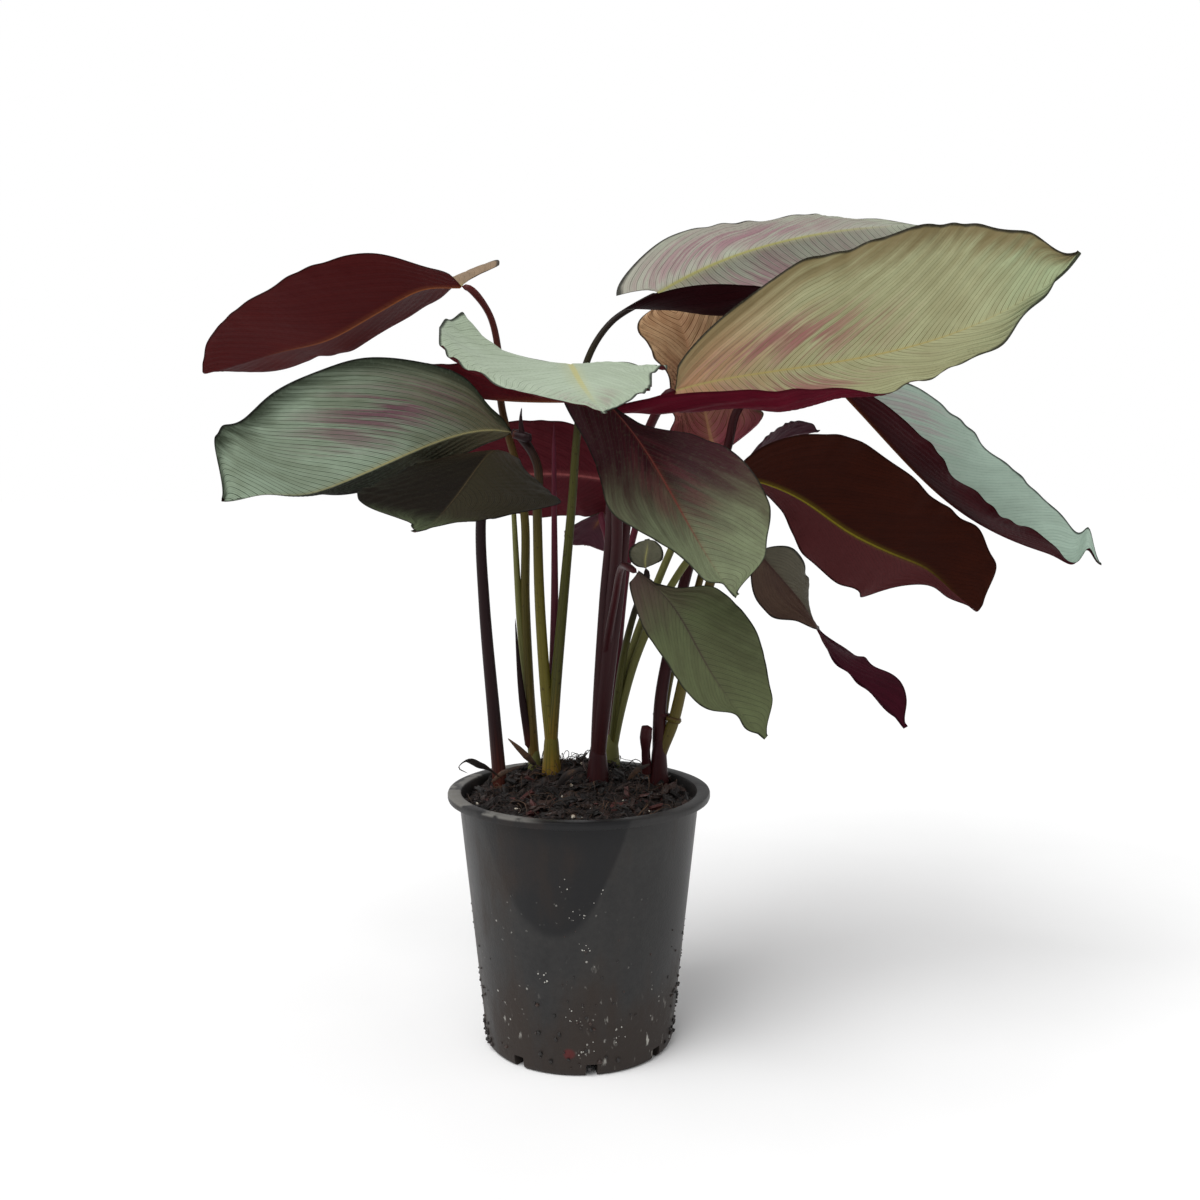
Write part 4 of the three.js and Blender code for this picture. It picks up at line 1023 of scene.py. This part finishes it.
SHOOTS = (
    Shoot(
        "shoot_far_left", "stalk_dark", (-44.5, 25), 4.4, 146,
        (
            Stalk((4.2, 2.5), ((-47, 25, 166), (-52, 22, 234), (-53, 18, 280), (-49, 15, 305)),
                StalkPaint.BLACKISH, "blade_low_left", 50),
        ),
        StalkPaint.BLACKISH,
    ),
    Shoot(
        "shoot_left", "stalk_olive", (-26, 43), 5.2, 150,
        (
            Stalk((3.6, 1.2), ((-31, 46, 190), (-34, 46, 222), (-37, 46, 279), (-38, 46, 301)),
                StalkPaint.OLIVE),
            Stalk((3.4, 1.7), ((-29, 45, 183), (-31, 46, 234), (-31, 46, 279), (-35, 46, 307), (-41, 46, 330),
                (-44, 46, 345), (-45, 42, 373), (-49, 34, 391)), StalkPaint.ARCH, "blade_high_left", 25),
        ),
        StalkPaint.OLIVE,
        (
            Sprig((2.4, 2.2, 1.2, 0.2), ((-28.6, 42, 148), (-33.4, 42, 183), (-35.6, 43, 208),
                (-36.6, 43, 224)), StalkPaint.BLACKISH, 0.5),
        ),
    ),
    Shoot(
        "shoot_middle", "stalk_olive", (-16, 32), 6.2, 165,
        (
            Stalk((3.8, 2.2), ((-19, 30, 185), (-22, 28, 235), (-23, 26, 282), (-23, 24, 310)),
                StalkPaint.LIME, "blade_broad_left", 25),
            Stalk((3.8, 1.0), ((-15, 34, 184), (-14, 34, 235), (-14, 33, 282), (-14, 32, 333)),
                StalkPaint.PURPLE),
            Stalk((3.8, 1.5), ((-14, 30, 180), (-8, 28, 246), (-4, 26, 290), (-1, 24, 328), (4, 22, 364),
                (17, 22, 385)), StalkPaint.GREEN, "blade_top_back", 5),
        ),
        StalkPaint.LIME,
        (
            Sprig((2.2, 2.4, 2.8, 2.0), ((-36, 24, 326), (-32, 23, 325), (-28, 22, 324), (-25.5, 21.5, 324)),
                StalkPaint.BLACKISH),
            Sprig((2.0, 1.5, 0.9, 0.2), ((-30.5, 23, 322), (-31.2, 22, 329), (-31.4, 21, 335),
                (-30.8, 20, 340)), StalkPaint.BLACKISH, 0.6),
        ),
    ),
    Shoot(
        "shoot_centre", "stalk_dark", (10, 22), 7.2, 160,
        (
            Stalk((4.6, 2.2), ((11, 18, 181), (14, 8, 237), (17, -8, 281), (15, -22, 316), (6, -26, 343)),
                StalkPaint.BURGUNDY, "blade_front_centre", 50),
            Stalk((4.6, 2.2), ((13, 16, 182), (17, 5, 232), (20, -15, 276), (16, -36, 316)),
                StalkPaint.BURGUNDY, "blade_front_dark", 75),
            Stalk((4.6, 2.2), ((14, 16, 182), (20, 8, 232), (25, -5, 281), (31, -15, 314)),
                StalkPaint.BURGUNDY, "blade_broad_right", 40),
            Stalk((3.6, 1.8), ((12, 20, 182), (16, 14, 240), (20, 6, 290), (20, -3, 325)),
                StalkPaint.BURGUNDY, "blade_hidden_left", 40),
            Stalk((3.2, 1.6), ((14, 12, 205), (19, -14, 240), (22, -38, 258)), StalkPaint.BURGUNDY,
                "blade_low_front", 20),
        ),
    ),
    Shoot(
        "shoot_back", "stalk_olive", (18, 47), 5.6, 158,
        (
            Stalk((3, 1.6), ((24, 40, 200), (30, 28, 228)), StalkPaint.GREEN, "blade_small_grey", 40),
            Stalk((3, 1.8), ((28, 46, 200), (42, 44, 240), (56, 44, 273), (69, 49, 298)), StalkPaint.OLIVE,
                "blade_young_pleated", 10),
            Stalk((3, 1.8), ((31, 42, 200), (49, 28, 241), (64, 11, 264), (80, 3, 272)), StalkPaint.OLIVE,
                "blade_twisted_right", 10),
            Stalk((3, 1.8), ((22, 50, 210), (27, 50, 256), (32, 48, 284)), StalkPaint.PURPLE,
                "blade_back_burgundy", 50),
            Stalk((3, 1.5), ((18, 50, 200), (17, 50, 245), (15, 51, 268)), StalkPaint.PURPLE,
                "blade_back_small", 60),
        ),
        StalkPaint.OLIVE,
    ),
    Shoot(
        "shoot_right", "stalk_dark", (44, 26), 6.2, 160,
        (
            Stalk((4.2, 2), ((45, 30, 179), (51, 34, 212), (60, 38, 251), (73, 40, 290), (82, 40, 320),
                (88, 40, 341), (106, 42, 354), (130, 44, 356)), StalkPaint.BURGUNDY, "blade_long_right", 10),
            Stalk((3.8, 2.2), ((52, 27, 168), (61, 27, 208), (72, 24, 247), (80, 18, 273)), StalkPaint.NODED,
                "blade_dark_right", 60),
            Stalk((3, 1.6), ((50, 36, 190), (66, 44, 240), (78, 54, 282)), StalkPaint.NODED,
                "blade_hidden_right", 30),
        ),
        sprigs=(
            Sprig((3.0, 2.6, 2.4, 3.4, 3.0), ((37.5, 25, 138), (36.6, 23, 150), (36.4, 22, 158),
                (36.8, 21.5, 164), (37.4, 21, 167)), StalkPaint.BURGUNDY),
            Sprig((4.4, 4.9, 4.4), ((45.2, 30, 169.5), (45.4, 30, 171), (45.6, 30, 172.5)),
                StalkPaint.BURGUNDY),
            Sprig((4.0, 4.6, 4.0), ((51.6, 27, 167.5), (52, 27, 169), (52.4, 27, 170.5)), StalkPaint.NODED),
        ),
    ),
)


@dataclass
class PotForm:
    """The nursery pot, turned with a thin wall, a rolled lip and drain slots."""

    height: float = 137.0
    rim: float = 70.0
    wall_top: float = 64.0
    base: float = 50.5
    wall: float = 1.6
    lip: float = 4.0
    floor: float = 5.0
    sides: int = 144
    drains: int = 8
    drain_width: float = 6.0
    drain_height: float = 6.5
    drain_first: float = -82.0
    crumb_count: int = 300
    LIME_AT = (
        (-5.5, 101.7), (7.3, 96.3), (0, 86.5), (3.8, 69.5), (-18.5, 50.8), (-2.9, 32.3), (4.6, 15.1), (21, 23)
    )

    def profile(self) -> list[tuple[float, float]]:
        """Closed outline of the wall, from the middle of the bottom round to the middle of the floor."""
        inner_top = self.wall_top - self.wall
        inner_foot = self.base - self.wall
        lip_low = self.height - self.lip
        return [
            (0.0, 0.0), (14, 0.0), (27.6, 0.0), (28.4, 0.25), (30, 2.4), (35, 2.4), (40, 2.4), (41.7, 0.3),
            (42.3, 0.0), (45, 0.0), (self.base - 2.9, 0.0), (self.base - 1.6, 0.3), (self.base - 0.6, 1.2),
            (self.base, 2.6), (self.base + 0.35, 6), *[
                (self.base + (self.wall_top - self.base) * k, 2.6 + (lip_low - 2.6) * k)
                for k in (0.08, 0.2, 0.4, 0.6, 0.8, 0.92, 0.975)
            ],
            (self.wall_top + 0.05, lip_low - 0.5), (self.wall_top + 0.7, lip_low), (self.rim - 1.2, lip_low),
            (self.rim - 0.3, lip_low + 0.3), (self.rim, lip_low + 1.1), (self.rim, self.height - 1.2),
            (self.rim - 0.35, self.height - 0.35), (self.rim - 1.2, self.height), (self.rim - 3.5, self.height),
            (inner_top + 1.7, self.height), (inner_top + 0.7, self.height - 0.4),
            (inner_top + 0.2, self.height - 1.4), (inner_top, lip_low), *[
                (inner_top + (inner_foot - inner_top) * k, lip_low + (self.floor + 1.5 - lip_low) * k)
                for k in (0.1, 0.3, 0.6, 0.9)
            ],
            (inner_foot, self.floor + 1.5), (inner_foot - 1.5, self.floor), (24, self.floor), (0.0, self.floor),
        ]

    def build(self) -> None:
        """Models the pot and cuts its drain slots."""
        outline = np.array(self.profile())
        steps = len(outline) - 1

        def place(q: np.ndarray, u: np.ndarray) -> tuple[np.ndarray, dict[str, np.ndarray]]:
            """Places of the turned wall."""
            row = np.round(u * steps).astype(int)
            angle = 2 * np.pi * q
            radius, level = outline[row].T
            return np.stack([radius * np.cos(angle), radius * np.sin(angle), level], axis=1), {}

        pot = closed_sheet("nursery_pot", self.sides, steps, place)
        for k in range(self.drains):
            turn = math.radians(self.drain_first + 360 / self.drains * k)
            reach = (self.base - 6) * MM
            bpy.ops.mesh.primitive_cube_add(
                size=1.0,
                location=(reach * math.cos(turn), reach * math.sin(turn), (self.drain_height / 2 - 1) * MM),
                rotation=(0.0, 0.0, turn),
                scale=(20 * MM, self.drain_width * MM, (self.drain_height + 2) * MM),
            )
            cutter = bpy.context.object
            bevel = cutter.modifiers.new("round", "BEVEL")
            bevel.width = 0.6 * MM
            bevel.segments = 2
            bpy.ops.object.modifier_apply(modifier=bevel.name)
            bpy.ops.object.select_all(action="DESELECT")
            pot.select_set(True)
            bpy.context.view_layer.objects.active = pot
            cut = pot.modifiers.new("slot", "BOOLEAN")
            cut.operation = "DIFFERENCE"
            cut.object = cutter
            cut.solver = "EXACT"
            bpy.ops.object.modifier_apply(modifier=cut.name)
            bpy.data.objects.remove(cutter)
        bpy.ops.object.shade_smooth_by_angle(angle=math.radians(35))
        dress(pot, "pot_plastic", (PotPlastic().material("pot_plastic"),), "pot")

    def crumbs(self) -> None:
        """Models crumbs of dried mix and lime that stick to the lower wall, most of them at its sides."""
        rng = random.Random(12)
        spots = []
        for x, level in self.LIME_AT:
            for _ in range(7):
                spots.append((x + rng.gauss(0, 2.2), level + rng.gauss(0, 2.6), 0, rng.uniform(0.15, 0.5)))
        for _ in range(self.crumb_count):
            turn = rng.choice((0.0, math.pi)) + rng.gauss(0, 0.3) - math.pi / 2 * (rng.random() < 0.35)
            level = 78 * rng.random() ** 1.5 + 3
            spots.append((turn, level, 1, rng.uniform(0.4, 1.5) * (1 - level / 130)))
        pieces = []
        for k, (along, level, kind, radius) in enumerate(spots):
            wall = self.base + (self.wall_top - self.base) * level / self.height
            turn = along if kind else -math.pi / 2 + along / wall
            bpy.ops.mesh.primitive_ico_sphere_add(subdivisions=1, radius=radius * MM)
            crumb = bpy.context.object
            for vertex in crumb.data.vertices:
                vertex.co *= 1 + 0.6 * noise.noise(vertex.co * 1300 + Vector((k * 2.0, 0, 0)))
            crumb.location = (wall * math.cos(turn) * MM, wall * math.sin(turn) * MM, level * MM)
            mark(crumb, (rng.random() * 0.9, 0.0, 1.0 - kind))
            pieces.append(crumb)
        crumbs = join_pieces("pot_crumbs", pieces)
        dress(crumbs, "bark_soil", (ChipLook().material("dry_crumbs"),))


@dataclass(frozen=True)
class PotPlastic:
    """Charcoal plastic with a dusty film, a painted dark reflection where the film is left off low on the front,
    splashes of lime and crumbs of dried mix.
    """

    # Bare plastic; where the film is left off low on the front it shows as the painted dark reflection.
    clean: Colour = tone(24, 24, 26)
    film: Colour = tone(58, 57, 56)
    mud: Colour = tone(50, 38, 30)
    lime: Colour = tone(200, 198, 190)
    stain: Colour = tone(90, 34, 34)
    STAIN_AT = (-0.004, -0.052, 0.0125)

    def material(self, name: str) -> bpy.types.Material:
        """Builds the finish."""
        bench = Bench(name)
        place = bench.place()
        x, y, z = bench.split(place)
        broad = bench.cloud(place, 18.0, 4.0)
        smear = bench.cloud(bench.join(x, y, z * 0.25), 70.0, 4.0)
        low = z.rise(0.075, 0.0)
        front = (-1.0 * y).rise(0.02, 0.06)
        # Painted dark reflection: a U-shaped patch low on the front is left clear of the film, and the lighter film
        # round it is partly dust, partly painted reflection.
        reflection_bowl = z - 0.074 - (x + 0.012) * (x + 0.012) * 42.0 + (broad - 0.5) * 0.012
        clear = reflection_bowl.rise(-0.003, 0.004) * front
        dust = bench.cloud(place, 320.0, 3.0, 0.6)
        dust_and_reflection = (0.6 + (broad - 0.5) * 0.6 + (smear - 0.5) * 0.5 + (dust - 0.5) * 0.5) * (1 - clear * 0.85)
        colour = bench.mix(dust_and_reflection, self.clean, self.film)
        dirt = (broad * 0.5 + smear * 0.5 + low * 0.22 + x * -0.9).rise(0.48, 0.74) * 0.6
        colour = bench.mix(dirt, colour, self.mud)
        clusters = bench.cloud(place, 45.0, 2.0).rise(0.55, 0.66)
        specks = bench.cells(place, 240.0).rise(0.2, 0.08) * clusters
        specks = specks * bench.cloud(place, 500.0, 2.0).rise(0.45, 0.6)
        runs = bench.cloud(bench.join(x, y, z * 0.35), 260.0, 3.0).rise(0.62, 0.7) * low
        lime = (specks + runs * bench.cloud(place, 30.0).rise(0.5, 0.62)) * z.rise(0.12, 0.06)
        colour = bench.mix(lime * 0.75, colour, self.lime)
        spot = bench.add("ShaderNodeVectorMath", {"operation": "DISTANCE"}, {0: place, 1: self.STAIN_AT})
        red = (Signal(bench, spot.outputs["Value"]) + (smear - 0.5) * 0.006).rise(0.0042, 0.0022)
        colour = bench.mix(red * 0.8, colour, self.stain)
        lip = z.rise(0.1355, 0.137) * (x * -1.0).rise(0.015, 0.03) * smear.rise(0.45, 0.55)
        colour = bench.mix(lip * 0.3, colour, self.lime)
        grain = bench.cloud(place, 900.0, 3.0)
        height = grain * 0.35 + dirt * bench.cloud(place, 300.0, 3.0) * 1.6 + lime * 0.8
        rough = 0.3 + dust_and_reflection * 0.16 + dirt * 0.3 + (grain - 0.5) * 0.08
        return bench.finish(
            Base_Color=colour, Roughness=rough, Normal=bench.bump(height, 0.0004, 0.7), Specular_IOR_Level=0.2
        )


class SoilForm:
    """The potting mix: a bed with a mound, bark, fibres, grains and dry scraps on it."""

    LEVEL = 130.0
    MOUND = 11.0
    SPREAD = 27.0
    CENTRE = (0.0, 42.0)
    LUMPS = 1.3
    RADIUS = 61.2
    FOOT_RADIUS = 46.0
    FLOOR = 5.6
    CHIPS = 520
    FIBRES = 280
    SCRAPS = (
        ((0.6, 0.8, 2.6, 2.4, 0.8, 0.3), ((-42, -2, 143), (-47, -6, 148), (-52, -12, 152), (-58, -18, 156),
                                          (-62, -22, 153), (-57, -22, 150))),
        ((1.2, 2.2, 1.6, 0.3), ((-24, 14, 146), (-28, 11, 151), (-33, 8, 157), (-38.5, 5, 163))),
        ((0.6, 1.4, 1.0, 0.3), ((-47, 0, 140), (-41, 0, 145), (-35, 0, 147.5), (-28, 2, 149))),
        ((0.8, 2.4, 0.6), ((-12, -12, 140), (-6, -14, 147), (2, -12, 151))),
        ((0.6, 1.8, 0.4), ((26, 4, 140), (31, 2, 146), (38, 4, 149))),
    )

    @classmethod
    def height(cls, x: float, y: float) -> float:
        """Level of the bare mix over the ground, as the CAD solid has it."""
        away = (x - cls.CENTRE[0]) ** 2 / 2.2 + (y - cls.CENTRE[1]) ** 2
        lumps = np.sin(x * 0.31 + 1.7) * np.cos(y * 0.27) + 0.6 * np.sin(x * 0.63 - y * 0.51)
        return cls.LEVEL + cls.MOUND * np.exp(-away / cls.SPREAD**2) + cls.LUMPS * lumps

    def bed(self) -> None:
        """Models the bed, with a crumbly top and a plain wall and bottom."""
        rings = 100

        def place(q: np.ndarray, u: np.ndarray) -> tuple[np.ndarray, dict[str, np.ndarray]]:
            """Places of the bed: the top out from the middle, then the wall and the bottom."""
            angle = 2 * np.pi * q
            row = np.round(u * (rings + 6))
            out = np.clip(row / rings, 0, 1) * self.RADIUS
            x, y = out * np.cos(angle), out * np.sin(angle)
            rough = np.array([
                noise.fractal(Vector((a * 0.16, b * 0.16, 3.1)), 0.7, 2.1, 5) for a, b in zip(x, y)
            ])
            level = self.height(x, y) + 1.6 * rough * np.clip((self.RADIUS - out) / 3, 0.4, 1)
            below = np.clip(row - rings, 0, 6)
            depth = np.array([0.0, 2.0, 40.0, 80.0, self.LEVEL - 8, self.LEVEL - self.FLOOR, self.LEVEL - self.FLOOR])
            level = np.where(below > 0, self.LEVEL - depth[below.astype(int)], level)
            shrink = 1 - (1 - self.FOOT_RADIUS / self.RADIUS) * np.clip((self.LEVEL - level) / self.LEVEL, 0, 1)
            shrink = np.where(below > 0, shrink, 1.0)
            shrink = np.where(below == 6, 0.0, shrink)
            return np.stack([x * shrink, y * shrink, level], axis=1), {}

        bed = closed_sheet("soil_bed", 150, rings + 6, place)
        dress(bed, "bark_soil", (MixLook().material("soil_mix"),), "soil")

    def spot(self, rng: random.Random, reach: float = 59.0) -> tuple[float, float]:
        """Chance place on the top."""
        far = reach * math.sqrt(rng.random())
        turn = rng.uniform(0, 2 * math.pi)
        return far * math.cos(turn), far * math.sin(turn)

    def chips(self) -> None:
        """Models bark chips: six shapes, copied, turned and half sunk."""
        rng = random.Random(7)
        noise.seed_set(7)
        shapes = []
        for k in range(6):
            bpy.ops.mesh.primitive_cube_add(size=1.0)
            shape = bpy.context.object
            bpy.ops.object.mode_set(mode="EDIT")
            bpy.ops.mesh.subdivide(number_cuts=2)
            bpy.ops.object.mode_set(mode="OBJECT")
            for vertex in shape.data.vertices:
                push = noise.noise_vector(vertex.co * 1.7 + Vector((k * 5.0, 0, 0)))
                vertex.co += push * 0.28
                vertex.co.y *= 1 - 0.45 * (vertex.co.x + 0.5)
            shapes.append(shape)
        pieces = []
        for _ in range(self.CHIPS):
            x, y = self.spot(rng)
            size = rng.choice((2.2, 3, 4, 5.5, 8.5))
            copy = rng.choice(shapes).copy()
            copy.data = copy.data.copy()
            bpy.context.collection.objects.link(copy)
            copy.scale = (size * MM, size * rng.uniform(0.35, 0.6) * MM, size * rng.uniform(0.12, 0.3) * MM)
            copy.rotation_euler = (rng.gauss(0, 0.5), rng.gauss(0, 0.45), rng.uniform(0, 6.28))
            copy.location = (x * MM, y * MM, (float(self.height(x, y)) + rng.uniform(0.0, 2.2)) * MM)
            mark(copy, (rng.random(), rng.random(), 0.0))
            pieces.append(copy)
        for shape in shapes:
            bpy.data.objects.remove(shape)
        chips = join_pieces("bark_chips", pieces)
        dress(chips, "bark_soil", (ChipLook().material("bark"),))

    def fibres(self) -> None:
        """Models thin roots and fibres that curl over the mix."""
        rng = random.Random(21)
        pieces = []
        for k in range(self.FIBRES):
            x, y = self.spot(rng, 58)
            heading = rng.uniform(0, 6.28)
            bend = rng.uniform(-0.35, 0.35)
            step = rng.uniform(1.4, 3.2)
            points = []
            lift = rng.uniform(1.0, 7.0) if rng.random() < 0.45 else 0.8
            count = rng.randint(5, 9)
            for i in range(count):
                arch = lift * math.sin(math.pi * i / (count - 1)) + 0.4
                radius = math.hypot(x, y)
                if radius > 60:
                    x, y = x * 60 / radius, y * 60 / radius
                points.append((x, y, float(self.height(x, y)) + 1.0 + arch))
                heading += bend + rng.gauss(0, 0.25)
                x += step * math.cos(heading)
                y += step * math.sin(heading)
            route = smooth_route(points, 12)
            radii = np.linspace(rng.uniform(0.2, 0.45), 0.1, 13)
            pieces.append(tube(f"fibre_{k}", route, radii, 5))
        for k, (radii, points) in enumerate(self.SCRAPS):
            route = smooth_route(points, 24)
            pieces.append(tube(f"scrap_{k}", route, spread_out(radii, len(route)), 12, 0.3))
        fibres = join_pieces("soil_fibres", pieces)
        dress(fibres, "bark_soil", (FibreLook().material("root_fibre"),))

    def grains(self) -> None:
        """Models the few light grains of perlite."""
        rng = random.Random(5)
        known = [(-32.0, -24.0, 2.0), (2.0, -42.0, 0.9), (14.0, -30.0, 0.6)]
        scattered = [(*self.spot(rng, 56), rng.uniform(0.4, 1.1)) for _ in range(16)]
        pieces = []
        for k, (x, y, radius) in enumerate(known + scattered):
            bpy.ops.mesh.primitive_ico_sphere_add(subdivisions=3, radius=1.0)
            grain = bpy.context.object
            for vertex in grain.data.vertices:
                vertex.co *= 1 + 0.35 * noise.noise(vertex.co * 1.8 + Vector((k * 3.0, 1, 0)))
            grain.scale = (radius * MM,) * 3
            grain.location = (x * MM, y * MM, (float(self.height(x, y)) + 1.2 + radius * 0.5) * MM)
            pieces.append(grain)
        grains = join_pieces("perlite_grains", pieces)
        dress(grains, "bark_soil", (GrainLook().material("perlite"),))

    def build(self) -> None:
        """Models all that fills the pot."""
        self.bed()
        self.chips()
        self.fibres()
        self.grains()


@dataclass(frozen=True)
class MixLook:
    """Moist dark potting mix."""

    dark: Colour = tone(15, 10, 8)
    light: Colour = tone(48, 31, 23)

    def material(self, name: str) -> bpy.types.Material:
        """Builds the finish."""
        bench = Bench(name)
        place = bench.place()
        crumbs = bench.cells(place, 420.0)
        cloud = bench.cloud(place, 260.0, 5.0, 0.65)
        colour = bench.mix((cloud * 0.7 + crumbs * 0.5).rise(0.45, 0.85), self.dark, self.light)
        height = cloud + crumbs * 0.8
        return bench.finish(
            Base_Color=colour, Roughness=0.7 + (cloud - 0.5) * 0.5, Normal=bench.bump(height, 0.0012, 0.9)
        )


@dataclass(frozen=True)
class ChipLook:
    """Bark chips from near black to reddish brown."""

    dark: Colour = tone(17, 11, 9)
    brown: Colour = tone(56, 35, 26)
    red: Colour = tone(88, 40, 36)
    pale: Colour = tone(190, 188, 180)

    def material(self, name: str) -> bpy.types.Material:
        """Builds the finish."""
        bench = Bench(name)
        place = bench.place()
        shade, hue, pale = bench.stored("chip")
        grain = bench.cloud(place, 700.0, 4.0, 0.6)
        colour = bench.mix((shade + (grain - 0.5) * 0.6).rise(0.35, 1.05), self.dark, self.brown)
        colour = bench.mix(hue.rise(0.82, 0.9) * shade.rise(0.2, 0.5) * 0.8, colour, self.red)
        colour = bench.mix(pale * grain.rise(0.3, 0.5), colour, self.pale)
        return bench.finish(
            Base_Color=colour, Roughness=0.55 + (grain - 0.5) * 0.5, Normal=bench.bump(grain, 0.0006, 0.8)
        )


@dataclass(frozen=True)
class FibreLook:
    """Dry roots and fibres."""

    dark: Colour = tone(26, 16, 13)
    light: Colour = tone(96, 68, 46)

    def material(self, name: str) -> bpy.types.Material:
        """Builds the finish."""
        bench = Bench(name)
        place = bench.place()
        cloud = bench.cloud(place, 60.0, 3.0)
        fine = bench.cloud(place, 900.0, 3.0)
        colour = bench.mix((cloud + (fine - 0.5) * 0.3).rise(0.45, 0.72), self.dark, self.light)
        return bench.finish(Base_Color=colour, Roughness=0.6 + fine * 0.3, Normal=bench.bump(fine, 0.0002, 0.7))


@dataclass(frozen=True)
class GrainLook:
    """Off-white perlite."""

    light: Colour = tone(214, 206, 190)
    dirty: Colour = tone(150, 132, 112)

    def material(self, name: str) -> bpy.types.Material:
        """Builds the finish."""
        bench = Bench(name)
        cloud = bench.cloud(bench.place(), 900.0, 4.0)
        colour = bench.mix(cloud.rise(0.4, 0.7), self.light, self.dirty)
        return bench.finish(Base_Color=colour, Roughness=0.7 + cloud * 0.25, Normal=bench.bump(cloud, 0.0005, 0.8))


@dataclass
class Studio:
    """Plain pale floor, soft light and the camera at the photograph's view."""

    eye: Triple = (0.0112, -0.6663, 0.3023)
    tilt_down: float = 5.5
    lens: float = 38.0
    sky: float = 0.5
    AIM_HEIGHT = 0.25

    def camera(self) -> None:
        """Stands the camera where the photograph was taken."""
        data = bpy.data.cameras.new("view")
        data.lens = self.lens
        data.sensor_width = 36.0
        data.clip_start = 0.01
        camera = bpy.data.objects.new("view", data)
        camera.location = self.eye
        camera.rotation_euler = (math.radians(90 - self.tilt_down), 0.0, 0.0)
        bpy.context.scene.collection.objects.link(camera)
        bpy.context.scene.camera = camera

    def floor(self) -> None:
        """Lays the floor."""
        bpy.ops.mesh.primitive_plane_add(size=30.0)
        floor = bpy.context.object
        floor.name = "floor"
        bench = Bench("floor_white")
        cloud = bench.cloud(bench.place(), 8.0, 2.0)
        colour = bench.mix(cloud, (0.86, 0.86, 0.86), (0.9, 0.9, 0.9))
        floor.data.materials.append(bench.finish(Base_Color=colour, Roughness=0.9, Specular_IOR_Level=0.0))

    def light(self, name: str, kind: str, source: Triple, strength: float, spread: float) -> None:
        """Hangs a light that shines on the plant.

        Args:
            name: The light's name.
            kind: SUN for even light from one direction, or AREA for a square lamp.
            source: Where it hangs, in metres, or the direction that it comes from.
            strength: Its strength, or its watts.
            spread: Its width in radians, or its side in metres.
        """
        data = bpy.data.lights.new(name, kind)
        data.energy = strength
        target = Vector((0.0, 0.0, 0.0 if kind == "SUN" else self.AIM_HEIGHT))
        setattr(data, "angle" if kind == "SUN" else "size", spread)
        lamp = bpy.data.objects.new(name, data)
        lamp.location = source
        lamp.rotation_euler = (target - Vector(source)).to_track_quat("-Z", "Y").to_euler()
        bpy.context.scene.collection.objects.link(lamp)

    def build(self) -> None:
        """Sets up the whole studio."""
        scene = bpy.context.scene
        scene.view_settings.view_transform = "Standard"
        world = bpy.data.worlds.new("studio")
        world.use_nodes = True
        tree = world.node_tree
        background = tree.nodes["Background"]
        background.inputs["Color"].default_value = (1.0, 1.0, 1.0, 1.0)
        seen = tree.nodes.new("ShaderNodeLightPath")
        strength = tree.nodes.new("ShaderNodeMapRange")
        strength.inputs["To Min"].default_value = self.sky
        tree.links.new(seen.outputs["Is Camera Ray"], strength.inputs["Value"])
        tree.links.new(strength.outputs[0], background.inputs["Strength"])
        scene.world = world
        self.camera()
        self.floor()
        self.light("key", "SUN", (-0.45, -0.55, 1.0), 2.55, math.radians(45.0))
        for name, side in (("left", -1.5), ("right", 1.5)):
            self.light(name, "AREA", (side, -0.5, 0.5), 4.0, 1.3)


def main() -> None:
    """Builds the plant, its pot and the studio."""
    logging.basicConfig(level=logging.INFO, format="%(name)s %(message)s")
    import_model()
    Studio().build()
    pot = PotForm()
    pot.build()
    pot.crumbs()
    SoilForm().build()
    for shoot in SHOOTS:
        shoot.build()
    for form in BLADES:
        form.build()


if __name__ == "__main__":
    main()
